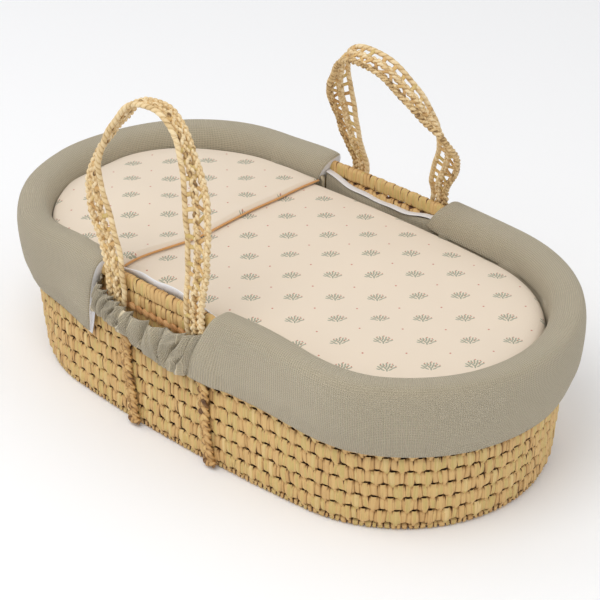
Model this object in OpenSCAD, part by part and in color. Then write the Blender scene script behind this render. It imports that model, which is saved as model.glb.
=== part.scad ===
// Palm-leaf Moses basket with two carrying handles, a padded liner and bedding.
// +X points to the foot end, +Z up; the origin is the middle of the underside.

/* [Basket] */
// Length of the basket over its rim, from head to foot
basket_l = 792; // [660:1:960]
// Width of the basket over its rim
basket_w = 440; // [366:1:520]
// How much the end curves are tighter than half the width, which bows the long sides
side_bow = 9; // [6:0.5:14]
// Height of one coiled row of the wall
row_h = 20; // [16:0.5:25]
// Number of rows in the wall, the rim coil included
row_count = 10; // [8:1:12]
// Thickness of the wall
wall_t = 10; // [7:0.5:13]
// How far the wall comes in from the rim down to the base
taper = 16; // [8:1:24]
// Roundness of the edges of each row
row_round = 5; // [2:0.5:6]
// Thickness of the base
base_t = 10; // [7:0.5:14]
// Width of one flat row of the base
base_row_w = 24; // [20:1:26]
// Number of flat rows around the base's middle
base_rows = 6; // [4:1:6]
// Radius of the brown cord laid in the groove two rows under the rim
knot_cord_r = 1.7; // [1.3:0.1:1.8]

/* [Handles] */
// Place of the middle between the legs, from the middle of the basket
handle_x = -12; // [-30:1:10]
// Distance between the two legs of a handle at the rim
leg_gap = 136; // [110:1:165]
// Height of a handle above its bend at the rim
arch_h = 252; // [220:1:300]
// How much wider the arch is halfway up, as a share
arch_bulge = 0.34; // [0:0.01:0.45]
// How far the arch leans sideways
arch_skew = 20; // [0:1:28]
// Radius of the two outer cords of a handle
side_cord_r = 4.5; // [3.5:0.1:5]
// Radius of the middle cord of a handle
mid_cord_r = 5.5; // [4:0.1:6]
// Distance between neighbouring cords
cord_pitch = 15.5; // [13:0.5:18]
// Radius of the short ties between the cords
tie_r = 1.6; // [1.2:0.1:2]
// Lean of the near handle towards the middle, in degrees
near_lean = 7; // [0:1:30]
// Lean of the far handle towards the middle, in degrees
far_lean = 25; // [0:1:30]
// Width of the plaited straps down the outside of the wall
strap_w = 21; // [16:1:28]
// Thickness of those straps
strap_t = 5.5; // [4:0.1:6.5]

/* [Liner] */
// Where the head-end padding stops at the handles
head_cut = -118; // [-140:1:-112]
// Where the foot-end padding starts at the handles
foot_cut = 90; // [84:1:120]
// Thickness of the padding inside the wall
bumper_t = 18; // [12:1:22]
// How far the outer skirt hangs below the top of the rim
skirt_drop = 91; // [70:1:120]
// How far the skirt stands out from the rim
skirt_out = 14; // [11:0.5:18]
// Thickness of the skirt at its hem
skirt_hem_t = 4; // [3:0.5:5]
// Height of the padded roll above the rim
roll_h = 8; // [6:0.5:12]
// Thickness of the white lining behind the skirt
lining_t = 0.8; // [0.5:0.1:1]
// Thickness of the panel inside each handle
panel_t = 7; // [4:0.5:10]
// Distance from the top of the rim down to the top of that panel
panel_drop = 14; // [13:1:40]
// Height of the gathered strip outside each handle
gusset_h = 58; // [40:1:70]
// Distance from the top of the rim down to the gathered strip
gusset_drop = 23; // [20:1:40]
// Thickness of the gathered strip
gusset_t = 6; // [4:0.5:7]
// Thickness of the liner's quilted floor
floor_t = 5; // [3:0.5:8]

/* [Bedding] */
// Thickness of the mattress
mattress_h = 78; // [50:1:90]
// Thickness of its sheet
sheet_t = 1.5; // [1:0.1:2]
// Puffed-up thickness of the duvet
duvet_h = 92; // [60:1:96]
// Thickness of the duvet's turned-back top
turn_back_t = 8; // [5:0.5:10]
// Where the turned-back top ends, from the middle of the basket
turn_back_x = -112; // [-160:1:-60]
// Radius of the piping along that edge
piping_r = 2; // [1.5:0.1:2.5]

/* [Hidden] */
// Gap between pieces that only lie against each other
clear = 0.5;
half_l = basket_l / 2;
half_w = basket_w / 2;
rim_z = base_t + row_h * row_count;
// The outline is four arcs: two end arcs and two long side arcs that meet them smoothly.
end_r = half_w - side_bow;
end_x = half_l - end_r;
side_r = (end_x * end_x / side_bow + end_r + half_w) / 2;
side_y = side_r - half_w;
end_angle = atan2(side_y, end_x);
join_x = side_r * cos(end_angle);
// Offsets below are measured outwards from the rim's outline.
base_off = -taper - 1;
floor_off = -taper - wall_t - 2 * clear;
// The brown cord rests in the groove, against the rounded edge of the row above it
groove_z = rim_z - 2 * row_h;
knot_cord_off = -taper * 1.5 * row_h / rim_z - row_round
    + sqrt(pow(row_round + knot_cord_r + 0.15, 2) - pow(row_round, 2));
// Middle of a handle's bend: just outside the straps and just above the rim
strap_off = knot_cord_r + 1;
bend_off = strap_off + strap_t / 2;
bend_z = rim_z + side_cord_r + 1.5;
bend_y = half_w + bend_off;
// The wall steps in row by row, so what lies along it stays clear of the steps
row_step = taper * row_h / (2 * rim_z);
soft_z = base_t + floor_t + 2 * clear;
bumper_z = rim_z - 12;
bed_gap = wall_t + row_step + bumper_t + 2 * clear;
bed_off = -taper - bed_gap;
gusset_off = strap_off + strap_t + 2;
elastic_t = 1;
mattress_z = soft_z;
duvet_z = mattress_z + mattress_h + sheet_t + 2 * clear;
turn_back_z = duvet_z + duvet_h + 0.2;
strap_low_z = 8;
knot_r = 3.6;
band_h = 8;
cord_rings = 44;
cord_sides = 8;
tie_step = 2;

wall_names = [for (i = [1 : row_count - 1]) str("wall_row_", i < 10 ? "0" : "", i)];
base_names = [for (i = [1 : base_rows]) str("base_row_", i)];
single_names = [
    "base_core", "rim_coil", "rim_cord",
    "near_head_strap", "near_foot_strap", "far_head_strap", "far_foot_strap", "strap_end_knots",
    "near_outer_cord", "near_middle_cord", "near_inner_cord", "near_handle_ties",
    "far_outer_cord", "far_middle_cord", "far_inner_cord", "far_handle_ties",
    "liner_floor", "head_bumper", "foot_bumper", "head_skirt", "foot_skirt",
    "head_skirt_lining", "foot_skirt_lining",
    "near_side_panel", "far_side_panel", "near_panel_binding", "far_panel_binding",
    "near_gusset", "far_gusset", "near_elastic", "far_elastic",
    "mattress", "fitted_sheet", "duvet", "turn_back", "turn_back_piping"
];

// How far in the wall is at height z
function wall_off(z) = -taper * (1 - min(z, rim_z) / rim_z);

// Where soft pieces that lie inside the wall begin at height z
function soft_off(z) = wall_off(z) - wall_t - row_step - clear;

// Points of a block from (x0, z0) to (x1, z1) with its outer corners rounded by r
function rounded_outer(x0, x1, z0, z1, r, steps = 4) = concat(
    [[x0, z0]],
    [for (i = [0 : steps]) [x1 - r + r * sin(90 * i / steps), z0 + r - r * cos(90 * i / steps)]],
    [for (i = [0 : steps]) [x1 - r + r * cos(90 * i / steps), z1 - r + r * sin(90 * i / steps)]],
    [[x0, z1]]
);

// One end arc of the outline, carrying a profile of (offset, z) points
module end_arc(profile) {
    translate([end_x, 0, 0])
    rotate([0, 0, -end_angle])
    rotate_extrude(angle = 2 * end_angle, $fn = 96)
    translate([end_r, 0])
    polygon(profile);
}

// The far long side between two places along X, carrying a profile
module side_arc(profile, x0, x1) {
    a0 = asin(x0 / side_r);
    a1 = asin(x1 / side_r);
    translate([0, -side_y, 0])
    rotate([0, 0, 90 - a1])
    rotate_extrude(angle = a1 - a0, $fn = 360)
    translate([side_r, 0])
    polygon(profile);
}

// The whole outline, closed
module full_ring(profile) {
    end_arc(profile);
    mirror([1, 0, 0]) end_arc(profile);
    side_arc(profile, -join_x, join_x);
    mirror([0, 1, 0]) side_arc(profile, -join_x, join_x);
}

// The foot end of the outline, from the place x0 on both sides
module foot_ring(profile, x0) {
    end_arc(profile);
    side_arc(profile, x0, join_x);
    mirror([0, 1, 0]) side_arc(profile, x0, join_x);
}

// The head end of the outline, up to the place x1 on both sides
module head_ring(profile, x1) {
    mirror([1, 0, 0]) foot_ring(profile, -x1);
}

// Half of a plate's middle, on the far side of the centre line
module plate_side(off, z0, z1, r, flare) {
    difference() {
        side_arc(flared(rounded_outer(-half_w, off, z0, z1, r), -half_w, z0, z1, flare), -join_x, join_x);
        translate([-half_l, -half_w, z0 - 1]) cube([basket_l, half_w, z1 - z0 + 2]);
    }
}

// A solid plate of the outline's shape, off outwards from the rim, with rounded edges.
// Its sides lean out by flare from bottom to top.
module plate(off, z0, z1, r, flare = 0) {
    end_profile = flared(rounded_outer(-end_r, off, z0, z1, r), -end_r, z0, z1, flare);
    end_arc(end_profile);
    mirror([1, 0, 0]) end_arc(end_profile);
    plate_side(off, z0, z1, r, flare);
    mirror([0, 1, 0]) plate_side(off, z0, z1, r, flare);
}

// The same points, with all but those at x0 moved outwards by a share of flare that grows with height
function flared(points, x0, z0, z1, flare) =
    [for (p = points) p.x == x0 ? p : [p.x + flare * (p.y - z0) / (z1 - z0), p.y]];

// ---- Basket ----

// One wrapped row of the wall, its number counted from the base
module wall_row(i) {
    z0 = base_t + row_h * (i - 1);
    off = wall_off(z0 + row_h / 2);
    color("burlywood")
    full_ring(rounded_outer(off - wall_t, off, z0, z0 + row_h, row_round));
}

// One flat row of the base, counted inwards from the wall
module base_row(i) {
    off = base_off - base_row_w * (i - 1);
    color("burlywood")
    full_ring([
        [off - base_row_w, 0], [off - clear, 0], [off - clear, base_t], [off - base_row_w, base_t]
    ]);
}

module base_core() {
    color("burlywood")
    plate(base_off - base_row_w * base_rows - clear, 0, base_t, 1);
}

// The brown cord in the groove two rows under the rim
module rim_cord() {
    steps = 10;
    color("peru")
    full_ring([
        for (i = [0 : steps - 1])
        [knot_cord_off + knot_cord_r * cos(360 * i / steps), groove_z + knot_cord_r * sin(360 * i / steps)]
    ]);
}

// One plaited strap up the outside of the wall, widening into the handle's leg at the top
module strap(x) {
    wide = 2 * (cord_pitch + side_cord_r);
    neck_z = rim_z - gusset_drop - gusset_h + 6;
    low_off = strap_off + wall_off(row_h / 2);
    neck_off = strap_off + wall_off(neck_z);
    color("burlywood") {
        side_arc([
            [low_off, strap_low_z], [low_off + strap_t, strap_low_z], [neck_off + strap_t, neck_z], [neck_off, neck_z]
        ], x - strap_w / 2, x + strap_w / 2);
        side_arc([
            [neck_off, neck_z], [neck_off + strap_t, neck_z],
            [strap_off + strap_t, rim_z - clear], [strap_off, rim_z - clear]
        ], x - wide / 2, x + wide / 2);
    }
}

// The knots that end the straps at the foot of the wall
module strap_end_knots() {
    color("burlywood")
    for (side = [0, 1], x = leg_places())
    mirror([0, side, 0])
    translate([x, half_w + strap_off + wall_off(row_h / 2) + strap_t / 2, knot_r])
    rotate([0, 90, 0])
    cylinder(r = knot_r, h = strap_w, center = true, $fn = 32);
}

function leg_places() = [handle_x - leg_gap / 2, handle_x + leg_gap / 2];

// ---- Handles ----
function unit(v) = v / norm(v);
// A smooth step from 0 to 1
function ease(u) = let (v = min(max(u, 0), 1)) v * v * (3 - 2 * v);

// A handle is an arch in a plane: a is 180 at the head leg and 0 at the foot leg.
function arch_rise(a) = arch_h * pow(max(sin(a), 0), 2 / 3);
function arch_side(a) =
    let (share = arch_rise(a) / arch_h)
    leg_gap / 2 * sign(cos(a)) * pow(abs(cos(a)), 2 / 3) * (1 + arch_bulge * pow(sin(180 * share), 1.5))
    - arch_skew * ease(2 * share) * (1 - 0.5 * ease(2 * share - 1));
function arch_point(a) = [arch_side(a), 0, arch_rise(a)];
function arch_run(a) = unit(arch_point(max(a - 1, 0)) - arch_point(min(a + 1, 180)));
// The band lies flat along the wall at the legs and turns flat to the hand at the top.
function band_turn(a) = 90 * ease((arch_rise(a) / arch_h - 0.3) / 0.62);
function band_across(a) =
    let (run = arch_run(a), inward = cross([0, 1, 0], run))
    unit(cos(band_turn(a)) * -inward + sin(band_turn(a)) * [0, 1, 0]);

// Points of a cord that keeps a distance across the band, as rings along the arch
function cord_ring(a, across, r) =
    let (run = arch_run(a), u = band_across(a), v = cross(run, u))
    [for (j = [0 : cord_sides - 1])
        arch_point(a) + u * (across + r * cos(360 * j / cord_sides))
        + v * r * sin(360 * j / cord_sides)];
// Place of ring i along the arch
function ring_angle(i) = 180 * (1 - i / cord_rings);

module cord(across, r) {
    points = [for (i = [0 : cord_rings]) each cord_ring(ring_angle(i), across, r)];
    last = cord_rings * cord_sides;
    sides = [for (i = [0 : cord_rings - 1], j = [0 : cord_sides - 1])
        let (k = (j + 1) % cord_sides, p = i * cord_sides, q = p + cord_sides)
        [p + j, q + j, q + k, p + k]];
    polyhedron(
        points = points,
        faces = concat(
            sides,
            [[for (j = [0 : cord_sides - 1]) j]],
            [[for (j = [cord_sides - 1 : -1 : 0]) last + j]]
        )
    );
}

// A straight round bar between two points
module bar(p, q, r) {
    d = q - p;
    translate(p)
    rotate([0, acos(d.z / norm(d)), atan2(d.y, d.x)])
    cylinder(r = r, h = norm(d), $fn = 24);
}

// The ties between the cords, each touching the cords it joins
module ties() {
    for (i = [2 : tie_step : cord_rings - 2]) {
        a = ring_angle(i);
        u = band_across(a);
        for (s = [-1, 1])
        bar(
            arch_point(a) + u * s * (mid_cord_r + 0.2),
            arch_point(a) + u * s * (cord_pitch - side_cord_r - 0.2),
            tie_r
        );
    }
}

// Puts a handle on the near side, leaning inwards
module on_near_side() {
    translate([handle_x, -bend_y, bend_z]) rotate([-near_lean, 0, 0]) children();
}

// Puts the same handle, turned half round, on the far side
module on_far_side() {
    translate([handle_x, bend_y, bend_z]) rotate([far_lean, 0, 0]) rotate([0, 0, 180]) children();
}

module near_cord(across, r) { color("burlywood") on_near_side() cord(across, r); }
module far_cord(across, r) { color("burlywood") on_far_side() cord(across, r); }
module near_handle_ties() { color("wheat") on_near_side() ties(); }
module far_handle_ties() { color("wheat") on_far_side() ties(); }

// ---- Liner ----

module liner_floor() {
    color("whitesmoke")
    plate(floor_off, base_t + clear, base_t + clear + floor_t, 1);
}

// Section of a soft wall of thickness t that lies inside the basket's wall up to z1
function inside_profile(z1, t) = [
    [soft_off(soft_z), soft_z], [soft_off(z1), z1], [soft_off(z1) - t, z1], [soft_off(soft_z) - t, soft_z]
];

// Padding inside the wall, from the liner's floor up to the rim
function bumper_profile() = inside_profile(bumper_z, bumper_t);
module head_bumper() { color("darkkhaki") head_ring(bumper_profile(), head_cut); }
module foot_bumper() { color("darkkhaki") foot_ring(bumper_profile(), foot_cut); }

// The padded roll over the rim and the skirt that hangs outside it
function skirt_profile() =
    let (
        top = rim_z + roll_h,
        hem_z = rim_z - skirt_drop,
        hem_off = wall_off(hem_z + row_h / 2) + clear + lining_t + 1,
        gap = clear + lining_t + 0.7,
        in_z = bumper_z + clear,
        in_off = soft_off(bumper_z)
    )
    [
        [in_off, in_z], [in_off, rim_z + clear], [gap, rim_z + clear], [gap, rim_z - 10],
        [hem_off, hem_z], [hem_off + skirt_hem_t, hem_z],
        [skirt_out - 3, rim_z - 0.6 * skirt_drop],
        [skirt_out, rim_z - 0.25 * skirt_drop], [skirt_out - 0.5, rim_z - 5],
        [skirt_out - 5, top - 3], [skirt_out - 13, top], [in_off - 0.4 * bumper_t, top],
        [in_off - 0.85 * bumper_t, top - 5], [in_off - bumper_t, in_z + 4], [in_off - bumper_t, in_z]
    ];
module head_skirt() { color("tan") head_ring(skirt_profile(), head_cut); }
module foot_skirt() { color("tan") foot_ring(skirt_profile(), foot_cut); }

// White lining between the skirt and the wall, a little longer than the skirt
function lining_profile() =
    let (
        hem_z = rim_z - skirt_drop,
        hem_off = wall_off(hem_z + row_h / 2) + clear,
        top_z = groove_z - knot_cord_r - 2,
        top_off = wall_off(top_z + row_h / 2) + clear
    )
    [
        [hem_off, hem_z - 3], [hem_off + lining_t, hem_z - 3], [top_off + lining_t, top_z], [top_off, top_z]
    ];
module head_skirt_lining() { color("white") head_ring(lining_profile(), head_cut); }
module foot_skirt_lining() { color("white") foot_ring(lining_profile(), foot_cut); }

// Thin panel that closes the liner inside a handle
module side_panel() {
    color("darkkhaki")
    side_arc(inside_profile(rim_z - panel_drop, panel_t), head_cut + clear, foot_cut - clear);
}

// White binding along the top of that panel
module panel_binding() {
    z0 = rim_z - panel_drop + 0.1;
    z1 = z0 + 3;
    off = soft_off(z0);
    color("white")
    side_arc([[off, z0], [off, z1], [off - panel_t, z1], [off - panel_t, z0]], head_cut + clear, foot_cut - clear);
}

// Gathered strip that joins the two skirts outside a handle
module gusset() {
    z1 = rim_z - gusset_drop;
    z0 = z1 - gusset_h;
    low = gusset_off + wall_off(z0);
    color("tan")
    side_arc([
        [low, z0], [low + gusset_t, z0], [gusset_off + gusset_t, z1], [gusset_off, z1]
    ], head_cut + clear, foot_cut - clear);
}

// Elastic bands behind the gathered strip, one along each edge
module elastic() {
    z1 = rim_z - gusset_drop;
    color("white")
    for (z = [z1 - band_h - 2, z1 - gusset_h + 2]) {
        off = gusset_off - elastic_t - 0.3 + wall_off(z);
        side_arc([
            [off, z], [off + elastic_t, z], [off + elastic_t, z + band_h], [off, z + band_h]
        ], head_cut + clear, foot_cut - clear);
    }
}

// ---- Bedding ----

module mattress() {
    color("ivory")
    plate(bed_off, mattress_z, mattress_z + mattress_h, 6);
}

module fitted_sheet() {
    z = mattress_z + mattress_h + clear;
    color("linen")
    plate(bed_off, z, z + sheet_t, 0.5);
}

module duvet() {
    color("linen")
    plate(
        wall_off(duvet_z) - bed_gap, duvet_z, duvet_z + duvet_h, 12,
        wall_off(duvet_z + duvet_h) - wall_off(duvet_z)
    );
}

// The duvet's top, folded back over the head third
module turn_back() {
    color("linen")
    intersection() {
        plate(wall_off(turn_back_z) - bed_gap, turn_back_z, turn_back_z + turn_back_t, 3);
        translate([-basket_l, -basket_w, 0])
        cube([basket_l + turn_back_x - 2 * piping_r, 2 * basket_w, 2 * rim_z]);
    }
}

// Ochre piping across the turned-back edge
module turn_back_piping() {
    reach = half_w - side_bow - bed_gap - 4;
    color("goldenrod")
    translate([turn_back_x - piping_r, 0, turn_back_z + piping_r])
    rotate([90, 0, 0])
    cylinder(r = piping_r - 0.1, h = 2 * reach, center = true, $fn = 24);
}

// ---- Which node to draw ----

for (i = [1 : row_count - 1]) wall_row(i);
for (i = [1 : base_rows]) base_row(i);
base_core();
wall_row(row_count);  // rim_coil
rim_cord();
mirror([0, 1, 0]) strap(leg_places()[0]);  // near_head_strap
mirror([0, 1, 0]) strap(leg_places()[1]);  // near_foot_strap
strap(leg_places()[0]);  // far_head_strap
strap(leg_places()[1]);  // far_foot_strap
strap_end_knots();
near_cord(cord_pitch, side_cord_r);  // near_outer_cord
near_cord(0, mid_cord_r);  // near_middle_cord
near_cord(-cord_pitch, side_cord_r);  // near_inner_cord
near_handle_ties();
far_cord(cord_pitch, side_cord_r);  // far_outer_cord
far_cord(0, mid_cord_r);  // far_middle_cord
far_cord(-cord_pitch, side_cord_r);  // far_inner_cord
far_handle_ties();
liner_floor();
head_bumper();
foot_bumper();
head_skirt();
foot_skirt();
head_skirt_lining();
foot_skirt_lining();
mirror([0, 1, 0]) side_panel();  // near_side_panel
side_panel();  // far_side_panel
mirror([0, 1, 0]) panel_binding();  // near_panel_binding
panel_binding();  // far_panel_binding
mirror([0, 1, 0]) gusset();  // near_gusset
gusset();  // far_gusset
mirror([0, 1, 0]) elastic();  // near_elastic
elastic();  // far_elastic
mattress();
fitted_sheet();
duvet();
turn_back();
turn_back_piping();
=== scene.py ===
"""A palm-leaf Moses basket with two carrying handles, a padded waffle liner and printed bedding.

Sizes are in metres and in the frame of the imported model: +X towards the foot end, +Z up.
"""

import logging
import math
from dataclasses import dataclass
from enum import Enum

import bmesh
import bpy
import numpy as np
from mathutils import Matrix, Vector


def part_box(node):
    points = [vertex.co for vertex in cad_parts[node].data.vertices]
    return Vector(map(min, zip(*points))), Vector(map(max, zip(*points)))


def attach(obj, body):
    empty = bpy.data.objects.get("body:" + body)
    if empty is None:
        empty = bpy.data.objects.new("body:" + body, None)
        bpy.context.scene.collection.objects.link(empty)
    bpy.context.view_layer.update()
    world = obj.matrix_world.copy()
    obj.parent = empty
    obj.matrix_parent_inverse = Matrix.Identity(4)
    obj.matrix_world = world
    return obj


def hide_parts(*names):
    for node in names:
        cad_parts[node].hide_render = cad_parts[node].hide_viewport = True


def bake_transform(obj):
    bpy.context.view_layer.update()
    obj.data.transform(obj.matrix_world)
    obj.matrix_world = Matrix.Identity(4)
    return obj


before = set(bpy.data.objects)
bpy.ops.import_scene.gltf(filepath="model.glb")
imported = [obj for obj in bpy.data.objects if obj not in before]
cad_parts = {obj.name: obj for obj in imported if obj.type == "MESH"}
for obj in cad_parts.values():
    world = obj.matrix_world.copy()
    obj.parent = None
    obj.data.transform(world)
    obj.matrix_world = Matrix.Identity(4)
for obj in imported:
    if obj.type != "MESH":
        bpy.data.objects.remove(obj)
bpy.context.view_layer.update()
LOG = logging.getLogger("moses_basket")

Array = np.ndarray
TAU = 2 * math.pi


# ---------------------------------------------------------------- shader maths


class Wire:
    """A value in a shader: a socket or a plain number, with arithmetic that adds Math nodes."""

    def __init__(self, shop: "ShaderShop", value: object) -> None:
        """Keeps the node tree's builder and the socket or number."""
        self.shop = shop
        self.value = value

    def _math(self, operation: str, *others: object) -> "Wire":
        """Adds one Math node.

        Args:
            operation: the Math node's operation.
            others: the second and third operands.
        Returns:
            The node's result.
        """
        inputs = {i: v for i, v in enumerate([self, *others])}
        return self.shop.node("ShaderNodeMath", {"operation": operation}, inputs)

    def __add__(self, other: object) -> "Wire":
        """Sum."""
        return self._math("ADD", other)

    def __radd__(self, other: object) -> "Wire":
        """Sum, reflected."""
        return self._math("ADD", other)

    def __sub__(self, other: object) -> "Wire":
        """Difference."""
        return self._math("SUBTRACT", other)

    def __rsub__(self, other: object) -> "Wire":
        """Difference, reflected."""
        return Wire(self.shop, other)._math("SUBTRACT", self)

    def __mul__(self, other: object) -> "Wire":
        """Product."""
        return self._math("MULTIPLY", other)

    def __rmul__(self, other: object) -> "Wire":
        """Product, reflected."""
        return self._math("MULTIPLY", other)

    def __truediv__(self, other: object) -> "Wire":
        """Quotient."""
        return self._math("DIVIDE", other)

    def __pow__(self, other: object) -> "Wire":
        """Power."""
        return self._math("POWER", other)

    def sin(self) -> "Wire":
        """Sine of an angle in radians."""
        return self._math("SINE")

    def wave(self, period: float) -> "Wire":
        """Distance to the nearest whole number of periods, in units of the value."""
        return self._math("PINGPONG", period / 2)

    def most(self, other: object) -> "Wire":
        """The larger of two values."""
        return self._math("MAXIMUM", other)

    def step(self, low: float, high: float) -> "Wire":
        """A smooth step that is 0 at low and 1 at high."""
        return self.shop.node(
            "ShaderNodeMapRange",
            {"interpolation_type": "SMOOTHSTEP"},
            {"Value": self, "From Min": low, "From Max": high},
        )


class ShaderShop:
    """Builds one material's node tree."""

    def __init__(self, name: str) -> None:
        """Makes an empty material of that name."""
        self.material = bpy.data.materials.new(name)
        self.material.use_nodes = True
        self.tree = self.material.node_tree
        self.tree.nodes.clear()

    def node(self, kind: str, settings: dict, inputs: dict, output: object = 0) -> Wire:
        """Adds a node, sets its settings first, then its sockets.

        Args:
            kind: the node's type.
            settings: its own settings; "ramp" gives a colour ramp's stops.
            inputs: the value or wire of each socket, by name or number.
            output: the name or number of the wanted output.
        Returns:
            The wanted output.
        """
        made = self.tree.nodes.new(kind)
        for key, value in settings.items():
            if key == "ramp":
                self._set_ramp(made.color_ramp, value)
            else:
                setattr(made, key, value)
        for key, value in inputs.items():
            socket = made.inputs[key]
            value = value.value if isinstance(value, Wire) else value
            if isinstance(value, bpy.types.NodeSocket):
                self.tree.links.new(value, socket)
            else:
                socket.default_value = value
        return Wire(self, made.outputs[output] if made.outputs else None)

    @staticmethod
    def _set_ramp(ramp: bpy.types.ColorRamp, stops: list) -> None:
        """Sets a ramp's stops from a list of (place, colour)."""
        while len(ramp.elements) > 1:
            ramp.elements.remove(ramp.elements[-1])
        ramp.elements[0].position = stops[0][0]
        ramp.elements[0].color = (*stops[0][1], 1)
        for place, colour in stops[1:]:
            ramp.elements.new(place).color = (*colour, 1)

    def split(self, vector: Wire) -> tuple[Wire, Wire, Wire]:
        """The three parts of a vector."""
        first = self.node("ShaderNodeSeparateXYZ", {}, {0: vector})
        outputs = first.value.node.outputs
        return tuple(Wire(self, outputs[i]) for i in range(3))

    def join(self, x: object, y: object, z: object = 0.0) -> Wire:
        """A vector of three values."""
        return self.node("ShaderNodeCombineXYZ", {}, {0: x, 1: y, 2: z})

    def place(self) -> Wire:
        """Place on the object, in metres."""
        return self.node("ShaderNodeTexCoord", {}, {}, "Object")

    def cloth(self) -> Wire:
        """Place on the cloth or strip, in metres, from the piece's UV map."""
        return self.node("ShaderNodeUVMap", {"uv_map": "cloth"}, {})

    def tint(self) -> Wire:
        """The piece's own shade attribute, from 0 to 1."""
        return self.node("ShaderNodeAttribute", {"attribute_name": "tint"}, {}, "Fac")

    def noise(self, vector: Wire, scale: float, detail: float = 3, rough: float = 0.5) -> Wire:
        """Soft noise from 0 to 1."""
        return self.node(
            "ShaderNodeTexNoise", {},
            {"Vector": vector, "Scale": scale, "Detail": detail, "Roughness": rough}, "Fac",
        )

    def stretch(self, vector: Wire, scale: tuple) -> Wire:
        """A vector scaled along its own axes."""
        return self.node("ShaderNodeMapping", {}, {"Vector": vector, "Scale": scale})

    def ramp(self, value: Wire, stops: list) -> Wire:
        """A colour that follows a value."""
        return self.node("ShaderNodeValToRGB", {"ramp": stops}, {"Fac": value})

    def blend(self, share: object, first: object, second: object, mode: str = "MIX") -> Wire:
        """Mixes two colours.

        Args:
            share: how much of the second.
            first: a colour wire or (r, g, b).
            second: a colour wire or (r, g, b).
            mode: the Mix node's blend type.
        Returns:
            The mixed colour.
        """
        def colour(value: object) -> object:
            """A plain colour gets its alpha."""
            return value if isinstance(value, Wire) else (*value, 1)

        return self.node(
            "ShaderNodeMix", {"data_type": "RGBA", "blend_type": mode},
            {"Factor": share, 6: colour(first), 7: colour(second)}, 2,
        )

    def finish(self, colour: object, rough: object, height: Wire | None = None,
               depth: float = 0.001, sheen: float = 0.0, strength: float = 1.0) -> bpy.types.Material:
        """Closes the tree with one Principled shader.

        Args:
            colour: the base colour.
            rough: the roughness.
            height: a value from 0 to 1 for the bump.
            depth: how deep that bump is, in metres.
            sheen: weight of the fabric's sheen.
            strength: strength of the bump.
        Returns:
            The finished material.
        """
        inputs = {"Base Color": colour, "Roughness": rough}
        if sheen:
            inputs.update({"Sheen Weight": sheen, "Sheen Roughness": 0.6})
        if height is not None:
            inputs["Normal"] = self.node(
                "ShaderNodeBump", {}, {"Strength": strength, "Distance": depth, "Height": height}
            )
        shader = self.node("ShaderNodeBsdfPrincipled", {}, inputs)
        self.node("ShaderNodeOutputMaterial", {}, {0: shader})
        return self.material


# ---------------------------------------------------------------- finishes


@dataclass(frozen=True)
class PalmLeaf:
    """Dry palm leaf: fine streaks along each strip and a shade of its own for every strip."""

    name: str = "palm_leaf"
    # the darkest stops are reached mostly through painted shade taken off the tint at strip edges, stitch
    # edges and wrap seams
    shades: tuple = (
        (0.0, (0.085, 0.034, 0.009)), (0.16, (0.27, 0.135, 0.040)), (0.34, (0.53, 0.31, 0.11)),
        (0.52, (0.64, 0.405, 0.165)), (0.68, (0.69, 0.46, 0.185)), (0.82, (0.57, 0.42, 0.145)),
        (1.0, (0.75, 0.54, 0.25)),
    )
    streaks: float = 900.0
    streak_depth: float = 0.0005

    def make(self) -> bpy.types.Material:
        """Builds the material; the cloth map's first axis runs across a strip, its second along it."""
        shop = ShaderShop(self.name)
        map_ = shop.cloth()
        fine = shop.noise(shop.stretch(map_, (self.streaks, 30.0, 1.0)), 1.0, 4, 0.6)
        broad = shop.noise(shop.stretch(map_, (240.0, 9.0, 1.0)), 1.0, 2)
        patch = shop.noise(shop.place(), 14.0, 2)
        shade = shop.tint() + (patch - 0.5) * 0.20 + (broad - 0.5) * 0.34
        colour = shop.ramp(shade, list(self.shades))
        colour = shop.blend((0.47 - fine).step(0.0, 0.2) * 0.5, colour, (0.30, 0.155, 0.045))
        colour = shop.blend((fine - 0.58).step(0.0, 0.2) * 0.4, colour, (0.84, 0.66, 0.36))
        height = fine * 0.6 + broad * 0.5
        return shop.finish(colour, 0.52 + fine * 0.2, height, self.streak_depth)


PALE_SHADES = (
    (0.0, (0.14, 0.07, 0.025)), (0.14, (0.36, 0.22, 0.085)), (0.32, (0.62, 0.43, 0.20)),
    (0.54, (0.76, 0.57, 0.31)), (0.76, (0.83, 0.66, 0.40)), (1.0, (0.88, 0.74, 0.50)),
)


@dataclass(frozen=True)
class CoreShade:
    """The core that shows in the gaps between strips, coloured dark brown as painted shade in those gaps."""

    name: str = "core_painted_shade"
    # both colours are painted shade for the gaps between strips
    dark: tuple = (0.055, 0.026, 0.010)
    light: tuple = (0.16, 0.065, 0.028)

    def make(self) -> bpy.types.Material:
        """Builds the material."""
        shop = ShaderShop(self.name)
        grain = shop.noise(shop.place(), 160.0, 3)
        return shop.finish(shop.blend(grain, self.dark, self.light), 0.85, grain, 0.001)


@dataclass(frozen=True)
class BrownCord:
    """Twisted honey-brown cord."""

    name: str = "brown_cord"

    def make(self) -> bpy.types.Material:
        """Builds the material."""
        shop = ShaderShop(self.name)
        fine = shop.noise(shop.stretch(shop.cloth(), (700.0, 60.0, 1.0)), 1.0, 4)
        colour = shop.ramp(
            fine * 0.7 + shop.tint() * 0.3,
            [(0.2, (0.24, 0.10, 0.03)), (0.5, (0.55, 0.28, 0.10)), (0.8, (0.74, 0.46, 0.21))],
        )
        return shop.finish(colour, 0.6, fine, 0.0006)


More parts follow.
